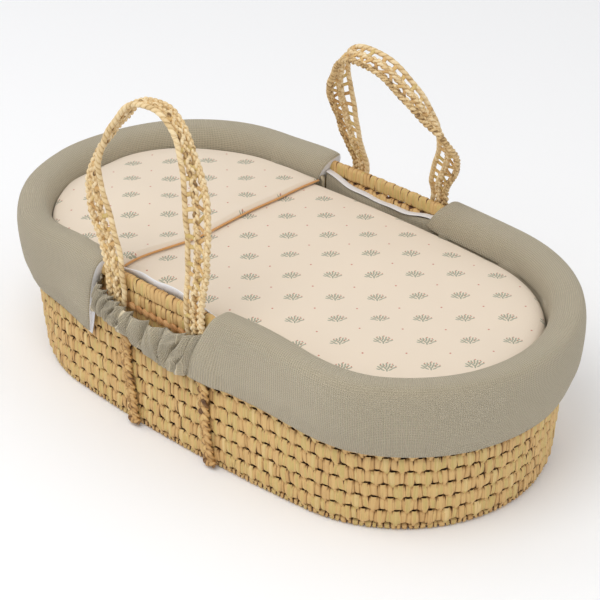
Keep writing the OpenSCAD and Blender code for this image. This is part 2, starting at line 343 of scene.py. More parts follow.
@dataclass(frozen=True)
class Waffle:
    """Sage-beige cotton waffle: a small square grid of ridges round sunken cells, with painted light on the
    ridges and painted shade in the cells.
    """

    name: str = "waffle_fabric"
    cell: float = 0.0026
    ridge: tuple = (0.76, 0.65, 0.45)
    shaded_hollow: tuple = (0.31, 0.26, 0.168)
    depth: float = 0.0014

    def make(self) -> bpy.types.Material:
        """Builds the material on the cloth map, which is in metres."""
        shop = ShaderShop(self.name)
        across, along, _ = shop.split(shop.cloth())
        drift = (shop.noise(shop.place(), 18.0, 2) - 0.5) * (self.cell * 0.8)
        ridge_a = 1 - (across + drift).wave(self.cell) * (2 / self.cell)
        ridge_b = 1 - (along + drift).wave(self.cell) * (2 / self.cell)
        height = (ridge_a ** 2.2).most((ridge_b ** 2.2) * 0.92)
        fuzz = shop.noise(shop.place(), 900.0, 2)
        cloud = shop.noise(shop.place(), 7.0, 2)
        # painted light and shade: the ridges take the lit colour, the sunken cells the shaded one
        colour = shop.blend(height * 0.85 + 0.1, self.shaded_hollow, self.ridge)
        colour = shop.blend(0.04 + cloud * 0.10, colour, (0.62, 0.55, 0.40))
        colour = shop.blend((fuzz - 0.5).step(0.0, 0.3) * 0.2, colour, (0.70, 0.64, 0.49))
        return shop.finish(colour, 0.88, height + fuzz * 0.15, self.depth, 0.25)


@dataclass(frozen=True)
class PlainCotton:
    """Plain woven cotton, from its colour."""

    name: str
    colour: tuple
    second: tuple
    thread: float = 0.0011

    def make(self) -> bpy.types.Material:
        """Builds the material: two crossed sets of threads over a faint cloudiness."""
        shop = ShaderShop(self.name)
        x, y, z = shop.split(shop.place())
        weave = ((x + z) * (TAU / self.thread)).sin() * ((y - z) * (TAU / self.thread)).sin()
        cloud = shop.noise(shop.place(), 35.0, 3)
        colour = shop.blend(cloud * 0.7 + weave * 0.12, self.colour, self.second)
        return shop.finish(colour, 0.85, weave * 0.5 + 0.5, 0.0002, 0.15)


@dataclass(frozen=True)
class SprigPrint:
    """Cream cotton printed with small leafy sprigs on a diagonal lattice, and a dot in every gap."""

    name: str = "printed_cotton"
    ground: tuple = (0.83, 0.70, 0.555)
    leaf: tuple = (0.20, 0.235, 0.15)
    bud: tuple = (0.58, 0.19, 0.12)
    pitch: float = 0.073
    leaves: tuple = (
        (-0.0096, -0.0026, 2.70, 0.0025, 0.0010), (-0.0086, 0.0010, 2.40, 0.0029, 0.0010),
        (-0.0062, 0.0036, 2.10, 0.0025, 0.0010), (-0.0030, 0.0052, 1.80, 0.0025, 0.0010),
        (0.0006, 0.0059, 1.50, 0.0029, 0.0010), (0.0042, 0.0050, 1.20, 0.0025, 0.0010),
        (0.0074, 0.0028, 0.80, 0.0025, 0.0010), (0.0096, -0.0006, 0.40, 0.0029, 0.0010),
        (-0.0060, -0.0008, 0.60, 0.0025, 0.0010), (-0.0034, 0.0018, 2.30, 0.0025, 0.0010),
        (0.0002, 0.0022, 1.20, 0.0029, 0.0010), (0.0034, 0.0014, 0.60, 0.0025, 0.0010),
        (0.0064, -0.0008, 2.60, 0.0025, 0.0010), (-0.0046, -0.0040, 2.50, 0.0029, 0.0010),
        (-0.0014, -0.0014, 2.20, 0.0025, 0.0010), (0.0018, -0.0018, 0.90, 0.0025, 0.0010),
        (0.0046, -0.0042, 0.50, 0.0029, 0.0010), (0.0002, -0.0050, 1.60, 0.0025, 0.0010),
    )
    buds: tuple = (
        (-0.0062, 0.0062, 0.0009), (0.0020, 0.0086, 0.0010), (0.0076, 0.0060, 0.0010),
        (-0.0020, 0.0034, 0.0008), (0.0060, 0.0010, 0.0009), (0.0112, 0.0020, 0.0009),
    )

    def make(self) -> bpy.types.Material:
        """Builds the material on object X and Y.

        Two square lattices, half a pitch apart both ways, give the diagonal rows. In each cell the
        sprig is a fan of narrow ellipses: a leaf's mask falls off with its squared distance.
        """
        shop = ShaderShop(self.name)
        x, y, _ = shop.split(shop.place())
        wobble = (shop.noise(shop.place(), 9.0, 1) - 0.5) * 0.012
        x, y = x + wobble, y - wobble
        leaves, buds = None, None
        half = self.pitch / 2
        for shift in (0.0, half):
            u = self._cell(x + shift)
            v = self._cell(y + shift)
            turned_u, turned_v = (u + v) * math.sqrt(0.5), (v - u) * math.sqrt(0.5)
            for across, up, turn, length, width in self.leaves:
                mask = self._ellipse(turned_u, turned_v, across, up, turn, length, width)
                leaves = mask if leaves is None else leaves.most(mask)
            for across, up, radius in self.buds:
                mask = self._ellipse(turned_u, turned_v, across, up, 0.0, radius, radius)
                buds = mask if buds is None else buds.most(mask)
            dot = self._ellipse(
                self._cell(x + shift + half), self._cell(y + shift), 0.0, 0.0, 0.0, 0.0013, 0.0013
            )
            buds = buds.most(dot)
        grain = shop.noise(shop.place(), 700.0, 2)
        cloud = shop.noise(shop.place(), 5.0, 2)
        ground = shop.blend(cloud * 0.6, self.ground, (0.87, 0.75, 0.61))
        leaf = shop.blend(grain, self.leaf, (0.30, 0.32, 0.22))
        colour = shop.blend(leaves * (0.70 + grain * 0.25), ground, leaf)
        colour = shop.blend(buds * 0.92, colour, self.bud)
        thread = 0.0009
        weave = (x * (TAU / thread)).sin() * (y * (TAU / thread)).sin()
        return shop.finish(colour, 0.86, weave * 0.4 + grain * 0.6, 0.00025, 0.2)

    def _cell(self, value: Wire) -> Wire:
        """Signed distance to the middle of the nearest cell."""
        half = self.pitch / 2
        return value.shop.node("ShaderNodeMath", {"operation": "WRAP"}, {0: value, 1: half, 2: -half})

    @staticmethod
    def _ellipse(u: Wire, v: Wire, across: float, up: float, turn: float,
                 length: float, width: float) -> Wire:
        """Mask of one turned ellipse, 1 inside and 0 outside."""
        du, dv = u - across, v - up
        along = (du * math.cos(turn) + dv * math.sin(turn)) / length
        aside = (dv * math.cos(turn) - du * math.sin(turn)) / width
        far = along * along + aside * aside
        return (1.30 - far).step(0.0, 0.6)


# ---------------------------------------------------------------- surfaces


class Surface:
    """Collects grids of points and turns them into one mesh object."""

    def __init__(self) -> None:
        """Starts empty."""
        self.points: list[Array] = []
        self.faces: list[Array] = []
        self.maps: list[Array] = []
        self.tints: list[Array] = []
        self.slots: list[Array] = []
        self.count = 0

    def grids(self, points: Array, maps: Array, tint: object = 0.5, slot: int = 0,
              closed: bool = False) -> "Surface":
        """Adds many grids of the same size at once.

        Args:
            points: (k, n, m, 3); faces look along d/dn x d/dm.
            maps: (k, n, m, 2), or (k, n, m + 1, 2) where the grid is closed.
            tint: one shade, one for each grid, or one for each point.
            slot: the material slot.
            closed: True where the second direction runs round and meets itself.
        Returns:
            The surface.
        """
        k, n, m, _ = points.shape
        index = np.arange(k * n * m).reshape(k, n, m) + self.count
        if closed:
            index = np.concatenate([index, index[:, :, :1]], axis=2)
        corners = [(slice(0, -1), slice(0, -1)), (slice(1, None), slice(0, -1)),
                   (slice(1, None), slice(1, None)), (slice(0, -1), slice(1, None))]
        quads = np.stack([index[:, a, b] for a, b in corners], axis=-1).reshape(-1, 4)
        map_quads = np.stack([maps[:, a, b] for a, b in corners], axis=-2).reshape(-1, 4, 2)
        self.points.append(points.reshape(-1, 3))
        self.faces.append(quads)
        self.maps.append(map_quads)
        shades = np.asarray(tint, float)
        shades = shades if shades.ndim == 3 else shades.reshape(-1, 1, 1)
        self.tints.append(np.broadcast_to(shades, (k, n, m)).reshape(-1))
        self.slots.append(np.full(len(quads), slot))
        self.count += k * n * m
        return self

    def grid(self, points: Array, maps: Array, tint: float = 0.5, slot: int = 0,
             closed: bool = False) -> "Surface":
        """Adds one (n, m, 3) grid."""
        return self.grids(points[None], maps[None], tint, slot, closed)

    def capped_tube(self, points: Array, maps: Array, tint: float = 0.5, slot: int = 0,
                    cap_slot: int | None = None) -> "Surface":
        """Adds a closed tube and covers its two ends.

        An end is covered by rings that shrink to its middle, so the cap is all quads.

        Args:
            points: (n, m, 3) rings of the tube.
            maps: (n, m + 1, 2) cloth map.
            tint: its shade.
            slot: material slot of the tube.
            cap_slot: material slot of the ends, or None for the same.
        Returns:
            The surface.
        """
        self.grids(points[None], maps[None], tint, slot, True)
        tint = float(np.mean(tint))
        cap_slot = slot if cap_slot is None else cap_slot
        for end, flip in ((0, True), (-1, False)):
            ring, ring_map = points[end], maps[end]
            middle, middle_map = ring.mean(axis=0), ring_map.mean(axis=0)
            share = np.array([1.0, 0.6, 0.0])[:, None, None]
            cap = middle + (ring - middle)[None] * share
            cap_map = middle_map + (ring_map - middle_map)[None] * share
            if flip:
                cap, cap_map = cap[::-1], cap_map[::-1]
            self.grid(cap, cap_map, tint, cap_slot, True)
        return self

    def build(self, name: str, materials: list, body: str, slot: str,
              nodes: tuple = (), weld: bool = True) -> bpy.types.Object:
        """Makes the mesh object, dresses it and ties it to its body.

        Args:
            name: the piece's name.
            materials: its materials, by slot.
            body: the body it rides on, or nothing to leave it untied.
            slot: not used.
            nodes: the model's nodes that it stands for.
            weld: True to join points that are at the same place.
        Returns:
            The object.
        """
        points = settle(np.concatenate(self.points))
        faces = np.concatenate(self.faces)
        mesh = bpy.data.meshes.new(name)
        mesh.vertices.add(len(points))
        mesh.vertices.foreach_set("co", points.astype(np.float32).ravel())
        mesh.loops.add(faces.size)
        mesh.loops.foreach_set("vertex_index", faces.astype(np.int32).ravel())
        mesh.polygons.add(len(faces))
        mesh.polygons.foreach_set("loop_start", np.arange(0, faces.size, 4, dtype=np.int32))
        mesh.polygons.foreach_set("material_index", np.concatenate(self.slots).astype(np.int32))
        mesh.polygons.foreach_set("use_smooth", np.ones(len(faces), bool))
        cloth = mesh.uv_layers.new(name="cloth")
        cloth.data.foreach_set("uv", np.concatenate(self.maps).astype(np.float32).ravel())
        tint = mesh.attributes.new("tint", "FLOAT", "POINT")
        tint.data.foreach_set("value", np.concatenate(self.tints).astype(np.float32))
        mesh.update(calc_edges=True)
        if weld:
            joined = bmesh.new()
            joined.from_mesh(mesh)
            bmesh.ops.remove_doubles(joined, verts=joined.verts, dist=2e-6)
            joined.to_mesh(mesh)
            joined.free()
        mesh.validate()
        piece = bpy.data.objects.new(f"{name}_detail", mesh)
        bpy.context.scene.collection.objects.link(piece)
        for material in materials:
            mesh.materials.append(material)
        if body:
            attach(piece, body)
        if nodes:
            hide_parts(*nodes)
        LOG.info("%s: %d faces", name, len(faces))
        return piece


SETTLED = np.array([-0.022, 0.020, 0.003])
SETTLED_MIDDLE, SETTLED_REACH, SETTLED_FADE = -0.02, 0.31, 0.16


def settle(points: Array) -> Array:
    """The near side has settled inwards and towards the head between the handle's legs.

    The move is (-0.022, 0.020, 0.003), times a smooth share of each coordinate: whole within
    0.15 of the handle's middle and none beyond 0.31, none at the middle of the bed and whole at
    the side, none on the floor and whole at the rim.

    Args:
        points: (n, 3) places.
    Returns:
        The moved places.
    """
    share = smooth_step((SETTLED_REACH - np.abs(points[:, 0] - SETTLED_MIDDLE)) / SETTLED_FADE)
    share = share * smooth_step((-points[:, 1] - 0.02) / 0.16) * smooth_step(points[:, 2] / 0.205)
    return points + share[:, None] * SETTLED


def smooth_step(value: Array) -> Array:
    """3 v^2 - 2 v^3 of the value held between 0 and 1."""
    held = np.clip(value, 0.0, 1.0)
    return held * held * (3 - 2 * held)


def closed_curve(corners: list, count: int) -> Array:
    """A smooth closed curve through corner points.

    Between two corners the curve is the usual cubic whose slope at a corner is half the step
    between that corner's neighbours; the points are then spaced evenly along it.

    Args:
        corners: (a, b) pairs in order.
        count: how many points to return.
    Returns:
        (count, 2) points, the first at the first corner.
    """
    p = np.array(corners, float)
    before, after, beyond = np.roll(p, 1, 0), np.roll(p, -1, 0), np.roll(p, -2, 0)
    t = np.linspace(0, 1, 24, endpoint=False)[None, :, None]
    p, before, after, beyond = (q[:, None, :] for q in (p, before, after, beyond))
    slope, next_slope = (after - before) / 2, (beyond - p) / 2
    curve = ((2 * t**3 - 3 * t**2 + 1) * p + (t**3 - 2 * t**2 + t) * slope
             + (3 * t**2 - 2 * t**3) * after + (t**3 - t**2) * next_slope).reshape(-1, 2)
    return spread(np.concatenate([curve, curve[:1]]), count + 1)[:-1]


def spread(points: Array, count: int) -> Array:
    """Points evenly spaced along a line of points."""
    run = np.concatenate([[0], np.cumsum(np.linalg.norm(np.diff(points, axis=0), axis=1))])
    want = np.linspace(0, run[-1], count)
    return np.stack([np.interp(want, run, points[:, i]) for i in range(points.shape[1])], -1)


def lengths(points: Array) -> Array:
    """Running length along a line of points."""
    return np.concatenate([[0], np.cumsum(np.linalg.norm(np.diff(points, axis=0), axis=1))])


@dataclass(frozen=True)
class Outline:
    """The basket's oval: two end arcs joined smoothly by two long side arcs."""

    half_length: float
    half_width: float
    bow: float = 0.009

    @property
    def end_radius(self) -> float:
        """Radius of the end arcs."""
        return self.half_width - self.bow

    @property
    def end_x(self) -> float:
        """Place of an end arc's centre along X."""
        return self.half_length - self.end_radius

    @property
    def side_radius(self) -> float:
        """Radius of the side arcs."""
        return (self.end_x**2 / self.bow + self.end_radius + self.half_width) / 2

    @property
    def end_half_angle(self) -> float:
        """Half the angle of an end arc."""
        return math.atan2(self.side_radius - self.half_width, self.end_x)

    def at(self, turn: Array) -> tuple[Array, Array]:
        """Places and outward directions on the outline.

        Args:
            turn: angle of the outward direction, counted from +X towards +Y.
        Returns:
            Points (..., 2) on the arc that has that direction, and the directions.
        """
        out = np.stack([np.cos(turn), np.sin(turn)], -1)
        on_end = np.abs(out[..., 0]) >= math.cos(self.end_half_angle)
        side = np.stack([np.zeros_like(turn),
                         -np.sign(out[..., 1]) * (self.side_radius - self.half_width)], -1)
        end = np.stack([np.sign(out[..., 0]) * self.end_x, np.zeros_like(turn)], -1)
        centre = np.where(on_end[..., None], end, side)
        radius = np.where(on_end, self.end_radius, self.side_radius)[..., None]
        return centre + radius * out, out

    def turn_at_x(self, x: object, side: int) -> Array:
        """Outward angle where a long side passes the place x; side is 1 for far, -1 for near."""
        return side * np.arccos(np.clip(np.asarray(x, float) / self.side_radius, -1, 1))

    def evenly(self, start: float, stop: float, count: int) -> Array:
        """Outward angles spaced evenly by length along the outline."""
        fine = np.linspace(start, stop, 4000)
        run = lengths(self.at(fine)[0])
        return np.interp(np.linspace(0, run[-1], count), run, fine)

    def length(self, start: float, stop: float) -> float:
        """Length of the outline between two outward angles."""
        return float(lengths(self.at(np.linspace(start, stop, 4000))[0])[-1])

    def sweep(self, turns: Array, off: Array, z: Array) -> Array:
        """Points at offsets and heights along the outline; all three broadcast together."""
        points, out = self.at(turns)
        off, z = np.broadcast_arrays(off, z)
        flat = points + out * off[..., None]
        return np.concatenate([flat, np.broadcast_to(z, flat.shape[:-1])[..., None]], -1)


# ---------------------------------------------------------------- the basket


BASKET = "basket"


class Track:
    """Turns a length along a moved-out outline into points."""

    def __init__(self, outline: Outline, off: float) -> None:
        """Measures the outline, moved out by off, once round."""
        self.outline, self.off = outline, off
        self.turns = np.linspace(0, TAU, 6000)
        points, out = outline.at(self.turns)
        self.run = lengths(points + out * off)
        self.length = float(self.run[-1])

    def points(self, run: Array, off: Array, z: Array) -> Array:
        """Points at lengths along the track, with their own offsets and heights."""
        turn = np.interp(np.mod(run, self.length), self.run, self.turns)
        return self.outline.sweep(turn, off, z)


def signed_power(value: Array, power: float) -> Array:
    """Sign times the absolute value to a power."""
    return np.sign(value) * np.abs(value) ** power


@dataclass
class WrappedRow:
    """One coiled row: a core wrapped in leaf strips, with long stitches down to the next row; the core's dark
    colour is painted shade for the gaps.

    A strip's section is a squarish oval: its two parts are the sizes times the signed cosine and
    sine to a power below one. Between two stitches the oval is a little lower, which leaves slits.
    """

    outline: Outline
    off: float
    z: float
    half_t: float
    half_h: float
    phase: float
    seed: int
    pitch: float = 0.0195
    wraps: int = 3
    stitched: bool = True
    slit: float = 0.0022
    cover: float = 1.04
    shade: tuple = (0.42, 0.92)
    stitch_drop: float = 0.0032
    across: int = 4
    around: int = 14
    power: float = 0.62

    def build(self, name: str, materials: list, slot: str, nodes: tuple) -> bpy.types.Object:
        """Makes the row as one piece."""
        track = Track(self.outline, self.off)
        rng = np.random.default_rng(self.seed)
        surface = Surface()
        self._core(surface, track)
        self._strips(surface, track, rng)
        if self.stitched:
            self._stitches(surface, track, rng)
        return surface.build(name, materials, BASKET, slot, nodes, False)

    def _core(self, surface: Surface, track: Track) -> None:
        """Adds the core, a little smaller than the strips."""
        run = np.linspace(0, track.length, 240)[:, None]
        turn = np.linspace(0, TAU, 10, endpoint=False)[None, :]
        off = self.off + (self.half_t - 0.0014) * signed_power(np.cos(turn), self.power)
        z = self.z + (self.half_h - 0.0019) * signed_power(np.sin(turn), self.power)
        points = track.points(run + 0 * turn, off + 0 * run, z + 0 * run)
        # slot 1 is the core's dark material: painted shade in the gaps between strips
        surface.grid(points, np.zeros((240, 11, 2)), 0.3, 1, True)

    def _strips(self, surface: Surface, track: Track, rng: np.random.Generator) -> None:
        """Adds the strips, each leaning and bulging in its own way."""
        count = int(round(track.length / self.pitch)) * self.wraps
        step = track.length / count
        cuts = (np.arange(count + 1) + rng.uniform(-0.22, 0.22, count + 1)) * step
        cuts[-1] = cuts[0] + track.length
        middle = ((cuts[1:] + cuts[:-1]) / 2)[:, None, None]
        width = (cuts[1:] - cuts[:-1])[:, None, None] * self.cover
        a = np.linspace(-1, 1, self.across + 1)[None, :, None]
        t = (np.arange(self.around) + 0.5) / self.around * TAU
        t = (t + 0.35 * np.sin(2 * t))[None, None, :]
        each = lambda low, high: rng.uniform(low, high, (count, 1, 1))
        up = signed_power(np.sin(t), self.power)
        fan = 1 + each(-0.16, 0.16) * up + each(-0.10, 0.10) * up * up
        run = middle + a * width / 2 * fan + each(-0.0012, 0.0012) * up
        run = run + self.phase * self.pitch
        beat = np.cos(math.pi * (run - self.phase * self.pitch) / (step * self.wraps)) ** 2
        drop = np.where(up > 0, beat, 1 - beat) * self.slit
        arch = 0.0009 * (1 - a * a) - 0.0006 + each(-0.0004, 0.0004) * a + each(-0.0003, 0.0003)
        off = self.off + (self.half_t + arch) * signed_power(np.cos(t), self.power)
        z = self.z + (self.half_h - drop + arch * 0.5) * up
        points = track.points(run, off + 0 * run, z + 0 * run)
        along = np.concatenate([t, t[..., :1] + TAU], axis=2) * (self.half_t + self.half_h) / 2
        maps = np.stack(np.broadcast_arrays(a * width / 2 + each(0, 9), along + each(0, 9)), -1)
        # painted shade: darker at each strip's edges and near the row's top and bottom, where the gaps
        # between strips and rows are
        dark = 0.34 * np.abs(a) ** 5 + 0.16 * smooth_step((np.abs(up) - 0.80) / 0.2)
        surface.grids(points, maps, each(*self.shade) - dark + 0 * t, 0, True)

    def _stitches(self, surface: Surface, track: Track, rng: np.random.Generator) -> None:
        """Adds a stitch for every pitch: a strip over the row's face that dips into the row below."""
        count = int(round(track.length / self.pitch))
        step = track.length / count
        middle = (np.arange(count)[:, None, None] + rng.uniform(-0.07, 0.07, (count, 1, 1))) * step
        each = lambda low, high: rng.uniform(low, high, (count, 1, 1))
        a = np.linspace(-1, 1, self.across + 2)[None, :, None]
        q = np.linspace(0, 1, 10)[None, None, :]
        top, low = self.half_h * 0.97, -self.half_h - self.stitch_drop
        z = top + (low - top) * q
        face = (self.half_t + 0.0008) * (1 - 0.42 * np.abs(z / self.half_h) ** 7)
        face = np.where(z < -self.half_h * 0.6, np.maximum(face, self.half_t * 0.72), face)
        pinch = np.exp(-(((z + self.half_h) / 0.0035) ** 2))
        width = each(0.0033, 0.0042) * (1 - 0.32 * pinch) * (0.92 + 0.12 * np.sin(math.pi * q))
        run = middle + self.phase * self.pitch + a * width + each(-0.0016, 0.0016) * (q - 0.5)
        off = self.off + face - 0.0012 * a * a + each(-0.0002, 0.0003) + each(-0.0003, 0.0003) * a
        off = off - 0.0016 * np.clip(-z / self.half_h - 1, 0, 1) / 0.32
        points = track.points(run, off + 0 * run, self.z + z + 0 * run)
        maps = np.stack(np.broadcast_arrays(a * width + each(0, 9), -z + each(0, 9)), -1)
        # painted shade: darker at each stitch's edges and where it pinches into the row below
        dark = 0.40 * np.abs(a) ** 6 + 0.12 * pinch
        shade = (each(0.55, 1.0) - dark + 0 * q)[:, :, ::-1]
        surface.grids(points[:, :, ::-1], maps[:, :, ::-1], shade, 0)


def scatter(value: Array) -> Array:
    """A repeatable number from -0.5 to 0.5 for each value: the last digits of a large sine."""
    large = np.sin(value) * 43758.5
    return large - np.floor(large) - 0.5


def frames(path: Array, side: Array) -> tuple[Array, Array]:
    """Two directions across a path: one near the wanted side, the other square to it.

    Args:
        path: (n, 3) points.
        side: (n, 3) or (3,) wanted direction.
    Returns:
        The directions u and v, with v = run x u.
    """
    run = np.gradient(path, axis=0)
    run /= np.linalg.norm(run, axis=1, keepdims=True)
    side = np.broadcast_to(side, run.shape)
    u = side - run * np.sum(side * run, axis=1, keepdims=True)
    u /= np.linalg.norm(u, axis=1, keepdims=True)
    return u, np.cross(run, u)


def tube(surface: Surface, path: Array, side: Array, half_u: object, half_v: object,
         tint: float = 0.5, slot: int = 0, around: int = 10, wrap: float = 0.0,
         depth: float = 0.0, shift: float = 0.0) -> None:
    """Adds a closed oval tube along a path, with a slanted ridge for every wrap round it.

    The radius is scaled by 1 + depth (|sin|^0.6 - 0.6) of the phase, which is pi length / wrap
    plus the angle round the tube. Each wrap has its own shade, and the seams are darkened as painted shade.

    Args:
        surface: where to add it.
        path: (n, 3) centre line.
        side: direction of the first half size.
        half_u, half_v: half sizes, single or one for each point.
        tint: shade.
        slot: material slot.
        around: points round the tube.
        wrap: length of one wrap, or 0 for a smooth tube.
        depth: depth of the grooves as a share of the radius.
        shift: place of the first wrap.
    """
    u, v = frames(path, side)
    run = lengths(path)[:, None]
    angle = -np.arange(around)[None, :] / around * TAU
    size = 1.0
    if wrap:
        phase = math.pi * (run + shift) / wrap + angle
        seam = np.abs(np.sin(phase)) ** 0.6
        size = 1 + depth * (seam - 0.6)
        own = scatter(np.floor(phase / math.pi) * 12.9898 + 78.0 * tint) * 0.42
        # painted shade: the grooves between wraps are darkened
        tint = np.clip(tint + own - 0.55 * (1 - seam) ** 1.5, 0, 1)[None]
    half_u = np.broadcast_to(np.asarray(half_u, float), (len(path),))[:, None]
    half_v = np.broadcast_to(np.asarray(half_v, float), (len(path),))[:, None]
    points = (path[:, None] + (np.cos(angle) * size * half_u)[..., None] * u[:, None]
              + (np.sin(angle) * size * half_v)[..., None] * v[:, None])
    wide = float(half_u.mean() + half_v.mean()) / 2
    angles = np.arange(around + 1)[None, :] / around * TAU * wide
    maps = np.stack(np.broadcast_arrays(run + shift, angles + 0 * run), -1)
    surface.capped_tube(points, maps, tint, slot)


def plait(surface: Surface, path: Array, side: Array, half_u: object, half_v: object,
          length: float, rng: np.random.Generator, shade: tuple = (0.45, 0.9),
          strand: float = 0.42, shift: float = 0.0) -> None:
    """Adds a flat three-strand plait along a path.

    Strand k is at half_u 0.62 sin(p) across and half_v 0.5 sin(2 p) up, where p grows by a full
    turn every length, plus a third of a turn for each strand.

    Args:
        surface: where to add it.
        path: (n, 3) centre line, with points at least eight to a length.
        side: direction across the plait.
        half_u, half_v: half sizes of the whole plait.
        length: length of one full crossing of a strand.
        rng: source of small differences.
        shade: range of shades.
        strand: half width of a strand as a share of half_u.
        shift: place along the pattern where it starts.
    """
    u, v = frames(path, side)
    run = lengths(path) + shift
    half_u = np.broadcast_to(np.asarray(half_u, float), (len(path),))
    half_v = np.broadcast_to(np.asarray(half_v, float), (len(path),))
    for k in range(3):
        p = TAU * (run / length + k / 3)
        line = (path + u * (half_u * (1 - strand) * np.sin(p))[:, None]
                + v * (half_v * 0.45 * np.sin(2 * p))[:, None])
        tube(surface, line, side, half_u * strand, half_v * 0.62, rng.uniform(*shade), 0, 8,
             0.0060, 0.16, 0.013 * k)


@dataclass
class Basket:
    """The palm-leaf shell: wall rows, rim, brown cord, base and the straps' lower ends."""

    outline: Outline
    leaf: bpy.types.Material
    core: bpy.types.Material
    weave: bpy.types.Material
    brown: bpy.types.Material
    taper: float = 0.016
    wall: float = 0.010
    row: float = 0.020
    groove: float = 0.170

    def wall_off(self, z: object) -> object:
        """How far in from the rim's outline the wall's face is at height z."""
        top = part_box("rim_coil")[1][2]
        return -self.taper * (1 - np.minimum(z, top) / top)

    def build(self) -> None:
        """Makes every piece."""
        mats = [self.leaf, self.core]
        for i in range(1, 11):
            z = self.row * i
            tight = i == 10
            name = "rim_coil" if tight else f"wall_row_{i:02d}"
            WrappedRow(
                self.outline, float(self.wall_off(z)) - self.wall / 2, z, self.wall / 2,
                self.row / 2, 0.5 * (i % 2), 100 + i, slit=0.0008 if tight else 0.0030,
                shade=(0.55, 0.98) if tight else (0.42, 0.92), stitched=not tight,
            ).build(name, mats, "palm_leaf", (name,))
        self._base(mats)
        self._brown_cord()

    def _base(self, mats: list) -> None:
        """The flat coils of the base, and the ones that fill its middle."""
        start = -self.taper - 0.0012
        for i in range(1, 7):
            self._flat_row(f"base_row_{i}", start - 0.024 * (i - 0.5), 0.012, mats, (f"base_row_{i}",), i)
        rest = start - 0.144
        self._flat_row("base_core_outer", rest - 0.0125, 0.012, mats, ("base_core",), 7)
        self._flat_row("base_core_inner", rest - 0.0355, 0.011, mats, (), 8)
        surface = Surface()
        path = np.stack([np.linspace(-0.19, 0.19, 240), np.zeros(240), np.full(240, 0.005)], -1)
        tube(surface, path, np.array([0, 1.0, 0]), 0.011, 0.0046, 0.6, 0, 10, 0.0068, 0.12)
        surface.build("base_core_middle", mats, BASKET, "palm_leaf")

    def _flat_row(self, name: str, off: float, half: float, mats: list, nodes: tuple, seed: int) -> None:
        """One flat coil of the base."""
        WrappedRow(
            self.outline, off, 0.0052, half, 0.005, 0.5 * (seed % 2), 200 + seed, pitch=0.021,
            stitched=False, slit=0.0004, across=2 if seed > 1 else 4, around=10, power=0.75,
            cover=1.04 if seed > 1 else 0.80,
        ).build(name, mats, "palm_leaf", nodes)

    def _brown_cord(self) -> None:
        """Slanted brown beads in the groove under the rim coil, a twist seen from its side."""
        level = self.groove
        off = float(self.wall_off(level)) + 0.0006
        track = Track(self.outline, off)
        count = int(round(track.length / 0.0125))
        rng = np.random.default_rng(5)
        q = np.linspace(-1, 1, 9)[None, :, None]
        t = np.arange(8)[None, None, :] / 8 * TAU
        fat = np.sqrt(np.clip(1 - q * q, 0.0004, 1))
        middle = np.arange(count)[:, None, None] * track.length / count
        lean = 0.0062 * q
        run = middle + 0.0052 * q * 1.15 + 0.0036 * fat * np.cos(t) + rng.uniform(-4e-4, 4e-4, (count, 1, 1))
        z = level - lean * 0.55 + 0.0040 * fat * np.cos(t)
        outward = 0.0030 * fat * np.sin(t)
        points = track.points(run, off + outward + 0 * run, z + 0 * run)
        t_map = np.arange(9)[None, None, :] / 8 * 0.02
        maps = np.stack(np.broadcast_arrays(t_map + 0 * middle, q * 0.007 + middle), -1)
        surface = Surface()
        surface.grids(points[:, :, ::-1], maps, rng.uniform(0.1, 0.9, count), 0, True)
        surface.build("rim_cord", [self.brown], BASKET, "brown_cord", ("rim_cord",), False)

    def straps(self) -> None:
        """The four plaited straps up the outside, and the knots that end them at the foot."""
        knots = Surface()
        for k, name in enumerate(("near_head_strap", "near_foot_strap", "far_head_strap", "far_foot_strap")):
            low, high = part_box(name)
            x, side = (low[0] + high[0]) / 2, (-1 if "near" in name else 1)
            z = np.linspace(0.012, 0.150, 90)
            turn = self.outline.turn_at_x(x, side)
            off = self.wall_off(z) + 0.0046
            path = self.outline.sweep(np.full(90, turn), off, z)
            path[:, 0] += 0.0015 * np.sin(z * 60 + k)
            rng = np.random.default_rng(40 + k)
            surface = Surface()
            plait(surface, path, np.array([1.0, 0, 0]), 0.0088, 0.0036, 0.030, rng, (0.22, 0.55), 0.42)
            surface.build(name, [self.leaf], BASKET, "palm_plait", (name,))
            knot_path = path[0] + np.stack(
                [np.linspace(-0.009, 0.009, 24), np.zeros(24), 0.001 * np.cos(np.linspace(0, 9, 24))], -1
            )
            knot_path[:, 2] -= 0.0030
            swell = 0.6 + 0.4 * np.sin(np.linspace(0.25, math.pi - 0.25, 24))
            tube(knots, knot_path, np.array([0, 1.0, 0]), 0.0046 * swell, 0.0052 * swell, 0.35, 0, 10,
                 0.006, 0.18)
        knots.build("strap_end_knots", [self.leaf], BASKET, "palm_plait", ("strap_end_knots",))
        


# ---------------------------------------------------------------- handles


